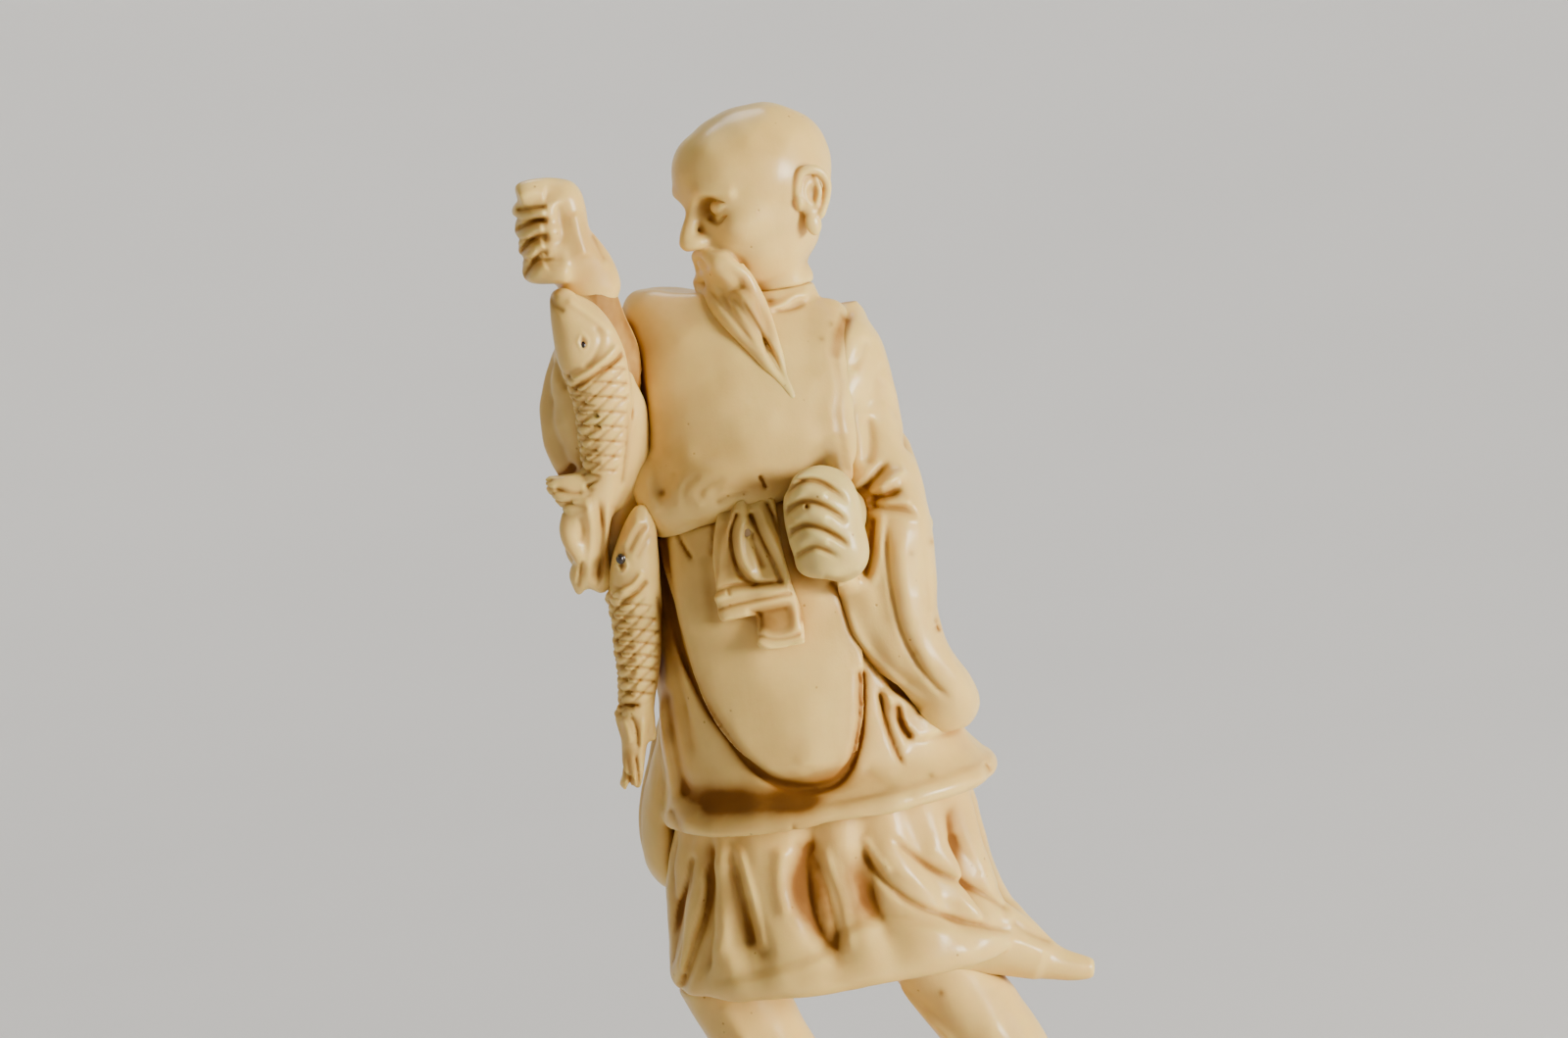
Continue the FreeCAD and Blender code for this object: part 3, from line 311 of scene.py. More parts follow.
def node_shape(names):
    """The points, in millimetres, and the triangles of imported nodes."""
    points, faces, count = [], [], 0
    for name in names:
        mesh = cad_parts[name].data
        mesh.calc_loop_triangles()
        co = np.zeros(len(mesh.vertices) * 3, np.float32)
        mesh.vertices.foreach_get("co", co)
        corners = np.zeros(len(mesh.loop_triangles) * 3, np.int32)
        mesh.loop_triangles.foreach_get("vertices", corners)
        points.append(co.reshape(-1, 3) * MM)
        faces.append(corners.reshape(-1, 3) + count)
        count += len(mesh.vertices)
    return np.vstack(points), np.vstack(faces).astype(np.uint32)


def blurred(field, sigma):
    """A field smoothed over sigma cells."""
    reach = max(1, int(math.ceil(2.5 * sigma)))
    weights = np.exp(-0.5 * (np.arange(-reach, reach + 1) / sigma) ** 2)
    weights /= weights.sum()
    for axis in range(3):
        pad = [(0, 0)] * 3
        pad[axis] = (reach, reach)
        wide = np.pad(field, pad, mode="edge")
        out = np.zeros_like(field)
        size = field.shape[axis]
        for n, weight in enumerate(weights):
            window = [slice(None)] * 3
            window[axis] = slice(n, n + size)
            out += np.float32(weight) * wide[tuple(window)]
        field = out
    return field


def corners(part):
    """The steps to the eight corners round a place, and each corner's share of the value there."""
    for a in (0, 1):
        for b in (0, 1):
            for c in (0, 1):
                yield a, b, c, ((part[0] if a else 1 - part[0]) * (part[1] if b else 1 - part[1])
                                * (part[2] if c else 1 - part[2]))


def lookup(field, low, cell, x, y, z):
    """The values of a field at points, between its cells."""
    places = [np.clip(p / cell - l, 0, s - 1.001) for p, l, s in zip((x, y, z), low, field.shape)]
    whole = [p.astype(int) for p in places]
    part = [p - w for p, w in zip(places, whole)]
    value = 0.0
    for a, b, c, share in corners(part):
        value = value + share * field[whole[0] + a, whole[1] + b, whole[2] + c]
    return value


def lumps(x, y, z, size, seed):
    """Smooth random heights from -1 to 1, as far apart as size."""
    side = 32
    table = np.random.default_rng(seed).uniform(-1, 1, (side, side, side)).astype(np.float32)
    places = [p / size + 100.0 for p in (x, y, z)]
    whole = [np.floor(p).astype(int) for p in places]
    part = [ease(0, 1, p - w) for p, w in zip(places, whole)]
    value = 0.0
    for a, b, c, share in corners(part):
        value = value + share * table[(whole[0] + a) % side, (whole[1] + b) % side, (whole[2] + c) % side]
    return value


def joined(a, b, blend):
    """The lesser of two distances, rounded where they meet."""
    if not blend:
        return np.minimum(a, b)
    h = np.clip(0.5 + 0.5 * (b - a) / blend, 0, 1)
    return b * (1 - h) + a * h - blend * h * (1 - h)


def signed_distances(nodes, low, shape, cell, reach):
    """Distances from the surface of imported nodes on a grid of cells, less than zero inside, out to reach."""
    points, faces = node_shape(nodes)
    spacing = openvdb.createLinearTransform(voxelSize=cell)
    grid = openvdb.FloatGrid.createLevelSetFromPolygons(points, triangles=faces, transform=spacing,
                                                        halfWidth=reach / cell)
    field = np.zeros(tuple(shape), np.float32)
    grid.copyToArray(field, ijk=tuple(int(i) for i in low))
    return field


def grid_round(nodes, cell, room):
    """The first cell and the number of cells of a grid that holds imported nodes, with room round them."""
    points, _ = node_shape(nodes)
    low = np.floor((points.min(0) - room) / cell).astype(int)
    return low, np.ceil((points.max(0) + room) / cell).astype(int) - low


SHELTER_CELL = 0.5
SHELTER_SPREAD = 1.3


@functools.cache
def shelter():
    """How much ivory lies round each place of the whole figure, from 0 in the open to 1 in the solid."""
    cell = SHELTER_CELL
    low, shape = grid_round(sorted(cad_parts), cell, 8 * cell)
    solid = np.full(tuple(shape), 3 * cell, np.float32)
    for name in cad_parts:
        solid = np.minimum(solid, signed_distances([name], low, shape, cell, 3 * cell))
    full = np.clip(0.5 - solid / (2 * cell), 0, 1)
    return blurred(full, SHELTER_SPREAD / cell), low, cell


# Where the front view is searched for the figure, along Y, and how full a place is at its surface
SEARCH_FROM, SEARCH_TO, SEARCH_STEP = -24.0, 20.0, 0.2
SURFACE_SHARE = 0.42


def touch(u, v, sink=0.0):
    """The place on the figure that is seen at a pixel of the front view, or one as much as sink behind it."""
    full, low, cell = shelter()
    depths = np.arange(SEARCH_FROM, SEARCH_TO, SEARCH_STEP)
    x, y, z = PHOTO.place(u, v, depths)
    solid = lookup(full, low, cell, x, y, z) > SURFACE_SHARE
    first = int(np.argmax(solid)) if solid.any() else len(depths) // 2
    return PHOTO.place(u, v, depths[first] + sink)


def touches(places, sink=0.0):
    return [touch(u, v, sink) for u, v in places]


# A smoothed skin lies this far over a crease, or this far under an edge, where the marks begin and are full.
# The nooks go by how full of ivory the place round a point is.
MARK_BLUR = 0.45
CREASE_RANGE = (0.015, 0.16)
WORN_RANGE = (0.05, 0.22)
NOOK_RANGE = (0.50, 0.82)


class Clay:
    """A block as signed distances, less than zero inside, known as far as reach from the surface."""

    def __init__(self, nodes, cell, room=2.0, reach=2.0):
        self.nodes = nodes
        self.cell = cell
        self.reach = reach
        self.drawings = []
        self.low, shape = grid_round(nodes, cell, room)
        self.field = signed_distances(nodes, self.low, shape, cell, reach)

    def window(self, low, high):
        """The cells between two corners, and their places."""
        first = np.clip(np.floor(np.array(low) / self.cell).astype(int) - self.low, 0, self.field.shape)
        last = np.clip(np.ceil(np.array(high) / self.cell).astype(int) + 1 - self.low, 0, self.field.shape)
        area = tuple(slice(a, b) for a, b in zip(first, last))
        x, y, z = ((np.arange(a, b) + l) * self.cell for a, b, l in zip(first, last, self.low))
        return area, x[:, None, None], y[None, :, None], z[None, None, :]

    def crop(self, axis, first, last):
        """Keeps the cells from one level to another along an axis."""
        start = 0 if first is None else int(first / self.cell) - self.low[axis]
        stop = self.field.shape[axis] if last is None else int(last / self.cell) - self.low[axis]
        keep = [slice(None)] * 3
        keep[axis] = slice(start, stop)
        self.field = np.ascontiguousarray(self.field[tuple(keep)])
        self.low[axis] += start

    def take(self, area, distance, blend, cut):
        """Adds a form to the clay, or cuts it out."""
        distance = distance.astype(np.float32)
        if cut:
            self.field[area] = -joined(-self.field[area], distance, blend)
        else:
            self.field[area] = joined(self.field[area], distance, blend)

    def rod(self, places, radii, blend=0.4, cut=False, steps=6):
        """A tapered rod along a smooth path."""
        path = flowing(np.array([list(p) + [r] for p, r in zip(places, radii)]), steps)
        radii = np.maximum(path[:, 3], 0.01)
        path = path[:, :3]
        room = radii.max() + blend + 3 * self.cell
        area, x, y, z = self.window(path.min(0) - room, path.max(0) + room)
        best = np.full(np.broadcast_shapes(x.shape, y.shape, z.shape), 1e3)
        for n in range(len(path) - 1):
            a, way = path[n], path[n + 1] - path[n]
            size = float(way @ way) + 1e-9
            t = np.clip(((x - a[0]) * way[0] + (y - a[1]) * way[1] + (z - a[2]) * way[2]) / size, 0, 1)
            off = np.sqrt((x - a[0] - t * way[0]) ** 2 + (y - a[1] - t * way[1]) ** 2
                          + (z - a[2] - t * way[2]) ** 2)
            best = np.minimum(best, off - radii[n] - t * (radii[n + 1] - radii[n]))
        self.take(area, best, blend, cut)

    def egg(self, centre, sizes, axes=((1, 0, 0), (0, 1, 0), (0, 0, 1)), blend=0.4, cut=False):
        """A ball stretched to half sizes along three square axes."""
        centre, axes = np.array(centre, float), np.array(axes, float)
        room = max(sizes) + blend + 3 * self.cell
        area, x, y, z = self.window(centre - room, centre + room)
        x, y, z = x - centre[0], y - centre[1], z - centre[2]
        near, far = 0.0, 0.0
        for axis, size in zip(axes, sizes):
            off = (x * axis[0] + y * axis[1] + z * axis[2]) / size
            near = near + off ** 2
            far = far + (off / size) ** 2
        near = np.sqrt(near)
        self.take(area, near * (near - 1) / np.sqrt(far + 1e-9), blend, cut)

    def soften(self, width):
        """Rounds every edge over about this width."""
        self.field = blurred(self.field, width / self.cell)

    def shell(self):
        """The cells near the surface, their places and the way that the surface faces there."""
        spots = np.nonzero(np.abs(self.field) < 0.9 * self.reach)
        inner = [np.clip(s, 1, n - 2) for s, n in zip(spots, self.field.shape)]
        slope = []
        for axis in range(3):
            up = list(inner)
            down = list(inner)
            up[axis] = inner[axis] + 1
            down[axis] = inner[axis] - 1
            slope.append(self.field[tuple(up)] - self.field[tuple(down)])
        size = np.sqrt(sum(s * s for s in slope)) + 1e-6
        x, y, z = ((s + l) * self.cell for s, l in zip(spots, self.low))
        return spots, (x, y, z), [s / size for s in slope]

    def press(self, *drawings):
        """Presses drawings into the surfaces that face their views."""
        spots, places, normal = self.shell()
        change = 0.0
        for drawing in drawings:
            faces = ease(0.02, 0.35, drawing.view.facing(*normal))
            change = change + drawing.sample(drawing.height, *places) * faces
            self.drawings.append(drawing)
        self.field[spots] -= change.astype(np.float32)

    def roughen(self, height, size, seed):
        """Leaves the faces uneven by up to height, in waves as long as size."""
        spots, places, _ = self.shell()
        self.field[spots] += (height * lumps(*places, size, seed)).astype(np.float32)

    def skin(self, name, material, slot):
        """The finished piece: a mesh with its four marks, in place of the nodes."""
        grid = openvdb.FloatGrid(self.reach)
        grid.transform = openvdb.createLinearTransform(voxelSize=self.cell)
        grid.copyFromArray(self.field, ijk=tuple(int(i) for i in self.low))
        points, quads = grid.convertToQuads(isovalue=0)
        mesh = bpy.data.meshes.new(name)
        mesh.vertices.add(len(points))
        mesh.vertices.foreach_set("co", (points / MM).astype(np.float32).ravel())
        mesh.loops.add(len(quads) * 4)
        mesh.loops.foreach_set("vertex_index", quads.astype(np.int32).ravel())
        mesh.polygons.add(len(quads))
        mesh.polygons.foreach_set("loop_start", np.arange(len(quads), dtype=np.int32) * 4)
        mesh.update(calc_edges=True)
        mesh.validate()
        mesh.shade_smooth()
        marks = mesh.attributes.new("marks", "FLOAT_COLOR", "POINT")
        marks.data.foreach_set("color", self.marks(mesh, points).astype(np.float32).ravel())
        piece = bpy.data.objects.new(name, mesh)
        bpy.context.scene.collection.objects.link(piece)
        mesh.materials.append(material)
        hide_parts(*self.nodes)
        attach(piece, BODY)
        return piece

    def marks(self, mesh, points):
        """Creases, nooks, drawn stains and worn edges at each point of the skin. The drawn stains include
        painted shade and painted shadow.
        """
        x, y, z = points.T.astype(float)
        normal = np.zeros(len(points) * 3, np.float32)
        mesh.vertices.foreach_get("normal", normal)
        normal = normal.reshape(-1, 3).T
        smooth = lookup(blurred(self.field, MARK_BLUR / self.cell), self.low, self.cell, x, y, z)
        crease = ease(*CREASE_RANGE, -smooth)
        edge = ease(*WORN_RANGE, smooth)
        nook = ease(*NOOK_RANGE, lookup(*shelter(), x, y, z))
        stain = np.zeros(len(points))
        for drawing in self.drawings:
            faces = ease(-0.1, 0.3, drawing.view.facing(*normal))
            stain = np.maximum(stain, drawing.sample(drawing.stain, x, y, z) * faces)
        return np.stack([crease, nook, stain, edge], -1)


# Settings

class IvorySettings(bpy.types.PropertyGroup):
    """Tones and polish of the ivory."""
    pale: FloatVectorProperty(
        name="Pale", description="Clean, polished ivory", subtype="COLOR", size=4, min=0, max=1,
        default=(0.87, 0.60, 0.185, 1))
    warm: FloatVectorProperty(
        name="Warm", description="Ivory yellowed with age, away from the wear", subtype="COLOR", size=4,
        min=0, max=1, default=(0.58, 0.335, 0.08, 1))
    # Stain: tea stain in folds and creases, and also the tone of the painted shade drawn between parts
    stain: FloatVectorProperty(
        name="Stain", description="Tea stain rubbed into folds and creases", subtype="COLOR", size=4,
        min=0, max=1, default=(0.28, 0.095, 0.004, 1))
    # Deep stain: stain at the foot of deep cuts, and also the tone of the darkest painted shadows
    dark: FloatVectorProperty(
        name="Deep stain", description="Stain gathered at the foot of a deep cut", subtype="COLOR", size=4,
        min=0, max=1, default=(0.10, 0.028, 0.003, 1))
    green: FloatVectorProperty(
        name="Inset hand", description="Greener ivory of the inset left hand", subtype="COLOR", size=4,
        min=0, max=1, default=(0.78, 0.61, 0.21, 1))
    roughness: FloatProperty(
        name="Roughness", description="Roughness of the polished faces", subtype="FACTOR", min=0, max=1,
        default=0.38)
    depth: FloatProperty(
        name="Light depth", description="How far light travels inside the ivory", unit="LENGTH", min=0,
        max=0.02, default=0.0022)
    speck: FloatProperty(
        name="Specks", description="Share of the pores that have gone dark", subtype="FACTOR", min=0, max=1,
        default=0.16)


class CarvingSettings(bpy.types.PropertyGroup):
    """Fineness of the carving."""
    body_cell: FloatProperty(
        name="Body cell", description="Finest detail of the robes, sleeves and legs", unit="LENGTH",
        min=0.0001, max=0.002, default=0.00026)
    fine_cell: FloatProperty(
        name="Fine cell", description="Finest detail of the head, hands, carp and sash", unit="LENGTH",
        min=0.0001, max=0.002, default=0.00016)
    rock_cell: FloatProperty(
        name="Rock cell", description="Finest detail of the ground", unit="LENGTH", min=0.0001, max=0.003,
        default=0.00048)
    scale_pitch: FloatProperty(
        name="Scale pitch", description="From one scale of the carp to the next", unit="LENGTH",
        min=0.0005, max=0.005, default=0.0015)
    wobble: FloatProperty(
        name="Knife wobble", description="How far hand work leaves the faces uneven", unit="LENGTH", min=0,
        max=0.001, default=0.00014)


class StageSettings(bpy.types.PropertyGroup):
    """Floor, lights and camera."""
    floor: FloatVectorProperty(
        name="Floor", description="Pale paper under and behind the figure", subtype="COLOR", size=4,
        min=0, max=1, default=(0.89, 0.865, 0.825, 1))
    key: FloatProperty(
        name="Key light", description="Power of the soft light from the right", unit="POWER", min=0, max=100,
        default=15.5)
    fill: FloatProperty(
        name="Fill light", description="Power of the soft light from the left", unit="POWER", min=0, max=100,
        default=0.12)
    top: FloatProperty(
        name="Top light", description="Power of the wide light overhead", unit="POWER", min=0, max=200,
        default=1.4)
    back: FloatProperty(
        name="Backdrop light", description="Power of the lamp over the paper behind the figure", unit="POWER",
        min=0, max=200, default=16.0)
    distance: FloatProperty(
        name="Camera distance", description="From the figure to the camera", unit="LENGTH", min=0.1, max=5,
        default=PHOTO.distance / MM)
    sensor: FloatProperty(
        name="Film width", description="Width of the camera's film", unit="CAMERA", min=5, max=100,
        default=36.0)


def settings(name):
    """The scene's settings of one kind: ivory, carving or stage."""
    return getattr(bpy.context.scene, name)


def cells(name):
    """A size of cell from the settings, in millimetres."""
    return getattr(settings("carving"), name) * MM


# Materials

# Waves per metre of the ivory's grain, its clouds, its pores and its hair scratches, and how much longer than
# wide the grain is
STREAK_SCALE, CLOUD_SCALE, PORE_SCALE, HAIR_SCALE = 1100.0, 85.0, 620.0, 3800.0
GRAIN_STRETCH = 0.14


class Nodes:
    """A node tree that is built up by kind and by what feeds each socket."""

    def __init__(self, tree):
        self.tree = tree

    def add(self, kind, inputs=None, **choices):
        node = self.tree.nodes.new("ShaderNode" + kind)
        for name, value in choices.items():
            setattr(node, name, value)
        for name, value in (inputs or {}).items():
            socket = node.inputs[name]
            if isinstance(value, bpy.types.NodeSocket):
                self.tree.links.new(value, socket)
            else:
                socket.default_value = value
        return node

    def maths(self, operation, a, b=0.0, c=None):
        inputs = {0: a, 1: b}
        if c is not None:
            inputs[2] = c
        return self.add("Math", inputs, operation=operation).outputs[0]

    def range(self, value, low, high, to_low=0.0, to_high=1.0):
        return self.add("MapRange", {"Value": value, "From Min": low, "From Max": high, "To Min": to_low,
                                     "To Max": to_high}).outputs["Result"]

    def noise(self, place, scale, **values):
        return self.add("TexNoise", {"Vector": place, "Scale": scale, **values}).outputs["Fac"]

    def blend(self, share, a, b):
        return self.add("Mix", {0: share, 6: a, 7: b}, data_type="RGBA").outputs[2]


def new_group(name, inputs, outputs):
    """A shader node group with named sockets, and the node that its inputs come from."""
    tree = bpy.data.node_groups.new(name, "ShaderNodeTree")
    for label, kind, default in inputs:
        socket = tree.interface.new_socket(label, in_out="INPUT", socket_type="NodeSocket" + kind)
        socket.default_value = default
    for label, kind in outputs:
        tree.interface.new_socket(label, in_out="OUTPUT", socket_type="NodeSocket" + kind)
    return tree, tree.nodes.new("NodeGroupInput").outputs


def grain_group():
    """Fine relief of the polished face: lengthwise grain, pores and hair scratches."""
    tree, given = new_group(
        "ivory_grain", [("Specks", "Float", 0.15)],
        [("Streak", "Float"), ("Speck", "Float"), ("Height", "Float"), ("Cloud", "Float")])
    n = Nodes(tree)
    place = n.add("TexCoord").outputs["Object"]
    along = n.add("Mapping", {"Vector": place, "Scale": (1.0, 1.0, GRAIN_STRETCH)}).outputs["Vector"]
    streak = n.noise(along, STREAK_SCALE, Detail=3.0, Roughness=0.6)
    cloud = n.noise(place, CLOUD_SCALE, Detail=4.0, Roughness=0.55)
    pore = n.add("TexVoronoi", {"Vector": place, "Scale": PORE_SCALE, "Randomness": 1.0})
    chosen = n.maths("LESS_THAN", n.add("SeparateColor", {"Color": pore.outputs["Color"]}).outputs["Red"],
                     given["Specks"])
    speck = n.maths("MULTIPLY", n.range(pore.outputs["Distance"], 0.13, 0.045), chosen)
    hair = n.noise(place, HAIR_SCALE, Detail=2.0)
    height = n.maths("ADD", n.maths("MULTIPLY", hair, 0.35), n.maths("MULTIPLY", streak, 0.5))
    height = n.maths("SUBTRACT", height, n.maths("MULTIPLY", speck, 0.8))
    out = tree.nodes.new("NodeGroupOutput")
    for label, value in (("Streak", streak), ("Speck", speck), ("Height", height), ("Cloud", cloud)):
        tree.links.new(value, out.inputs[label])
    return tree


def stain_and_shade_group():
    """Turns the four marks of a mesh into colour and roughness. The stain tones also give the painted shade
    and painted shadow that some drawn marks carry.
    """
    tree, given = new_group(
        "ivory_stain",
        [("Pale", "Color", (1, 1, 1, 1)), ("Warm", "Color", (1, 1, 1, 1)), ("Stain", "Color", (1, 1, 1, 1)),
         ("Deep", "Color", (0, 0, 0, 1)), ("Roughness", "Float", 0.3), ("Strength", "Float", 1.0),
         ("Streak", "Float", 0.5), ("Speck", "Float", 0.0), ("Cloud", "Float", 0.5)],
        [("Color", "Color"), ("Roughness", "Float"), ("Polish", "Float")])
    n = Nodes(tree)
    marks = n.add("Attribute", attribute_name="marks")
    parts = n.add("SeparateColor", {"Color": marks.outputs["Color"]}).outputs
    crease, nook, drawn, worn = parts["Red"], parts["Green"], parts["Blue"], marks.outputs["Alpha"]
    cloudy = n.range(given["Cloud"], 0.36, 0.64)
    patchy = n.maths("MULTIPLY_ADD", cloudy, 0.55, 0.72)
    age = n.maths("ADD", n.maths("MULTIPLY", nook, 0.95), n.maths("MULTIPLY", cloudy, 0.40))
    age = n.maths("ADD", age, n.maths("MULTIPLY", given["Streak"], 0.10))
    age = n.add("Clamp", {"Value": n.maths("SUBTRACT", age, n.maths("MULTIPLY", worn, 0.25))}).outputs[0]
    tone = n.blend(age, given["Pale"], given["Warm"])
    soak = n.maths("ADD", n.maths("MULTIPLY", crease, 0.30), n.maths("MULTIPLY", drawn, 0.85))
    soak = n.maths("ADD", soak, n.maths("MULTIPLY", n.range(nook, 0.35, 1.0), 0.55))
    soak = n.maths("MULTIPLY", n.maths("MULTIPLY", soak, patchy), given["Strength"])
    soak = n.add("Clamp", {"Value": soak}).outputs[0]
    tone = n.blend(n.range(soak, 0.02, 0.85, 0.0, 0.92), tone, given["Stain"])
    tone = n.blend(n.range(soak, 0.62, 1.25, 0.0, 0.85), tone, given["Deep"])
    tone = n.blend(n.maths("MULTIPLY", given["Speck"], 0.6), tone, given["Stain"])
    rough = n.maths("ADD", given["Roughness"], n.maths("MULTIPLY", soak, 0.40))
    rough = n.maths("ADD", rough, n.maths("MULTIPLY", n.maths("SUBTRACT", given["Streak"], 0.5), 0.16))
    out = tree.nodes.new("NodeGroupOutput")
    tree.links.new(tone, out.inputs["Color"])
    tree.links.new(rough, out.inputs["Roughness"])
    tree.links.new(n.range(soak, 0.0, 0.5, 0.32, 0.0), out.inputs["Polish"])
    return tree


def shared_group(name):
    """A node group by name, made on first use."""
    makers = {"ivory_grain": grain_group, "ivory_stain": stain_and_shade_group}
    return bpy.data.node_groups.get(name) or makers[name]()


def new_material(name):
    """An empty material and its node tree."""
    material = bpy.data.materials.new(name)
    material.use_nodes = True
    material.node_tree.nodes.clear()
    return material, Nodes(material.node_tree)


def ivory(name, tint=None, strength=1.0, relief=0.00006):
    """One ivory finish. tint replaces the pale tone, and strength is how much stain has soaked in; it also
    deepens the painted shade.
    """
    found = bpy.data.materials.get(name + "_finish")
    if found:
        return found
    given = settings("ivory")
    material, n = new_material(name + "_finish")
    grain = n.add("Group", node_tree=shared_group("ivory_grain"))
    grain.inputs["Specks"].default_value = given.speck
    stain = n.add("Group", node_tree=shared_group("ivory_stain"))
    for label, value in (("Pale", tint or given.pale), ("Warm", given.warm), ("Stain", given.stain),
                         ("Deep", given.dark), ("Roughness", given.roughness), ("Strength", strength)):
        stain.inputs[label].default_value = value
    for label in ("Streak", "Speck", "Cloud"):
        material.node_tree.links.new(grain.outputs[label], stain.inputs[label])
    bump = n.add("Bump", {"Height": grain.outputs["Height"], "Distance": relief, "Strength": 0.6})
    shader = n.add("BsdfPrincipled", {
        "Base Color": stain.outputs["Color"], "Roughness": stain.outputs["Roughness"], "IOR": 1.45,
        "Normal": bump.outputs["Normal"], "Subsurface Weight": 0.30, "Subsurface Radius": (1.0, 0.55, 0.20),
        "Subsurface Scale": given.depth, "Coat Weight": stain.outputs["Polish"],
        "Coat Roughness": 0.2, "Specular IOR Level": 0.2})
    n.add("OutputMaterial", {"Surface": shader.outputs["BSDF"]})
    return material


def plain_material(name, colour, second, scale, roughness, relief, coat=0.0):
    """A finish that wanders between two tones, with fine relief: dowels, inlaid eyes and the floor."""
    found = bpy.data.materials.get(name + "_finish")
    if found:
        return found
    material, n = new_material(name + "_finish")
    place = n.add("TexCoord").outputs["Object"]
    cloud = n.noise(place, scale, Detail=4.0)
    tone = n.blend(n.range(cloud, 0.3, 0.7), colour, second)
    rough = n.maths("ADD", roughness, n.maths("MULTIPLY", n.maths("SUBTRACT", cloud, 0.5), 0.15))
    bump = n.add("Bump", {"Height": cloud, "Distance": relief, "Strength": 0.5})
    shader = n.add("BsdfPrincipled", {
        "Base Color": tone, "Roughness": rough, "Normal": bump.outputs["Normal"], "Coat Weight": coat})
    n.add("OutputMaterial", {"Surface": shader.outputs["BSDF"]})
    return material


# Pieces

def finish(clay, name, material, slot, seed):
    """The last wobble of the knife, then the skin."""
    clay.roughen(settings("carving").wobble * MM, 2.6, seed)
    clay.roughen(settings("carving").wobble * MM * 1.2, 7.0, seed + 1)
    return clay.skin(name, material, slot)


FRONT_LEFT, FRONT_TOP, FRONT_RIGHT, FRONT_FOOT = 500, 80, 1180, 1200


def front_window():
    """A blank drawing over the figure as the camera sees it."""
    return Drawing(PHOTO, FRONT_LEFT, FRONT_TOP, FRONT_RIGHT, FRONT_FOOT)


GROUND_TOP = 12.0
GROUND_TRIM = 12.35
GROUND_HALF_WIDTH, GROUND_HALF_DEPTH = 30, 20
KNOBS = 46


def carve_ground():
    clay = Clay(["ground_rock"], cells("rock_cell"), room=4.0, reach=4.0)
    rng = np.random.default_rng(11)
    for n in range(KNOBS):
        turn = 2 * math.pi * (n + rng.uniform(-0.3, 0.3)) / KNOBS
        out = rng.uniform(0.86, 0.98)
        size = rng.uniform(2.6, 5.4)
        place = (GROUND_HALF_WIDTH * out * math.cos(turn) * 0.97,
                 GROUND_HALF_DEPTH * out * math.sin(turn) * 0.97, rng.uniform(1.5, 8.5))
        lean = Euler((rng.uniform(-0.5, 0.5), rng.uniform(-0.5, 0.5), turn)).to_matrix()
        sizes = (size * 0.62, size, size * rng.uniform(0.6, 1.1))
        clay.egg(place, sizes, [lean.col[i] for i in range(3)], blend=1.1)
    spots, (x, y, z), normal = clay.shell()
    ridged = 1 - np.abs(lumps(x, y, z, 5.0, 3)) * 1.6
    finer = 1 - np.abs(lumps(x, y, z, 2.2, 4)) * 1.6
    top = ease(0.4, 0.9, normal[2])
    change = (0.75 * ridged + 0.32 * finer) * (1 - top) + top * (0.30 * np.clip(ridged, 0, 1) + 0.12 * finer)
    clay.field[spots] -= change.astype(np.float32)
    area, _, _, z = clay.window((-40, -30, -5), (40, 30, 20))
    clay.field[area] = np.maximum(clay.field[area], np.maximum(-z, z - GROUND_TRIM)).astype(np.float32)
    clay.skin("ground_rock_carved", ivory("ivory_rock", strength=1.1), "ivory_rock")


# Each toe's distance across the foot, radius, how far its tip is ahead of the ankle, and its height
TOES = {
    "great_toe": (-2.55, 1.30, 15.4, 1.25),
    "second_toe": (-0.95, 0.92, 15.2, 0.95),
    "third_toe": (0.45, 0.86, 14.4, 0.88),
    "fourth_toe": (1.75, 0.80, 13.2, 0.80),
    "little_toe": (2.95, 0.74, 11.8, 0.72),
}
FOOT_SINEWS = (-1.5, -0.3, 0.9, 2.0)
LEFT_LEG_FRONT = {
    "shin_ridge": (RIB, [(905, 998), (926, 1020), (948, 1042), (968, 1062), (985, 1085)], 6, 0.6),
    "calf_hollow": (GROOVE, [(1008, 1004), (1025, 1035), (1045, 1075)], 7, 0.12, 0.15),
    "shin_pore": (DOT, (960, 1013), 2.2, -0.1, 0.8),
}
RIGHT_LEG_FRONT = {
    "shin_ridge": (RIB, [(735, 1022), (752, 1050), (775, 1090)], 9, 0.3),
}


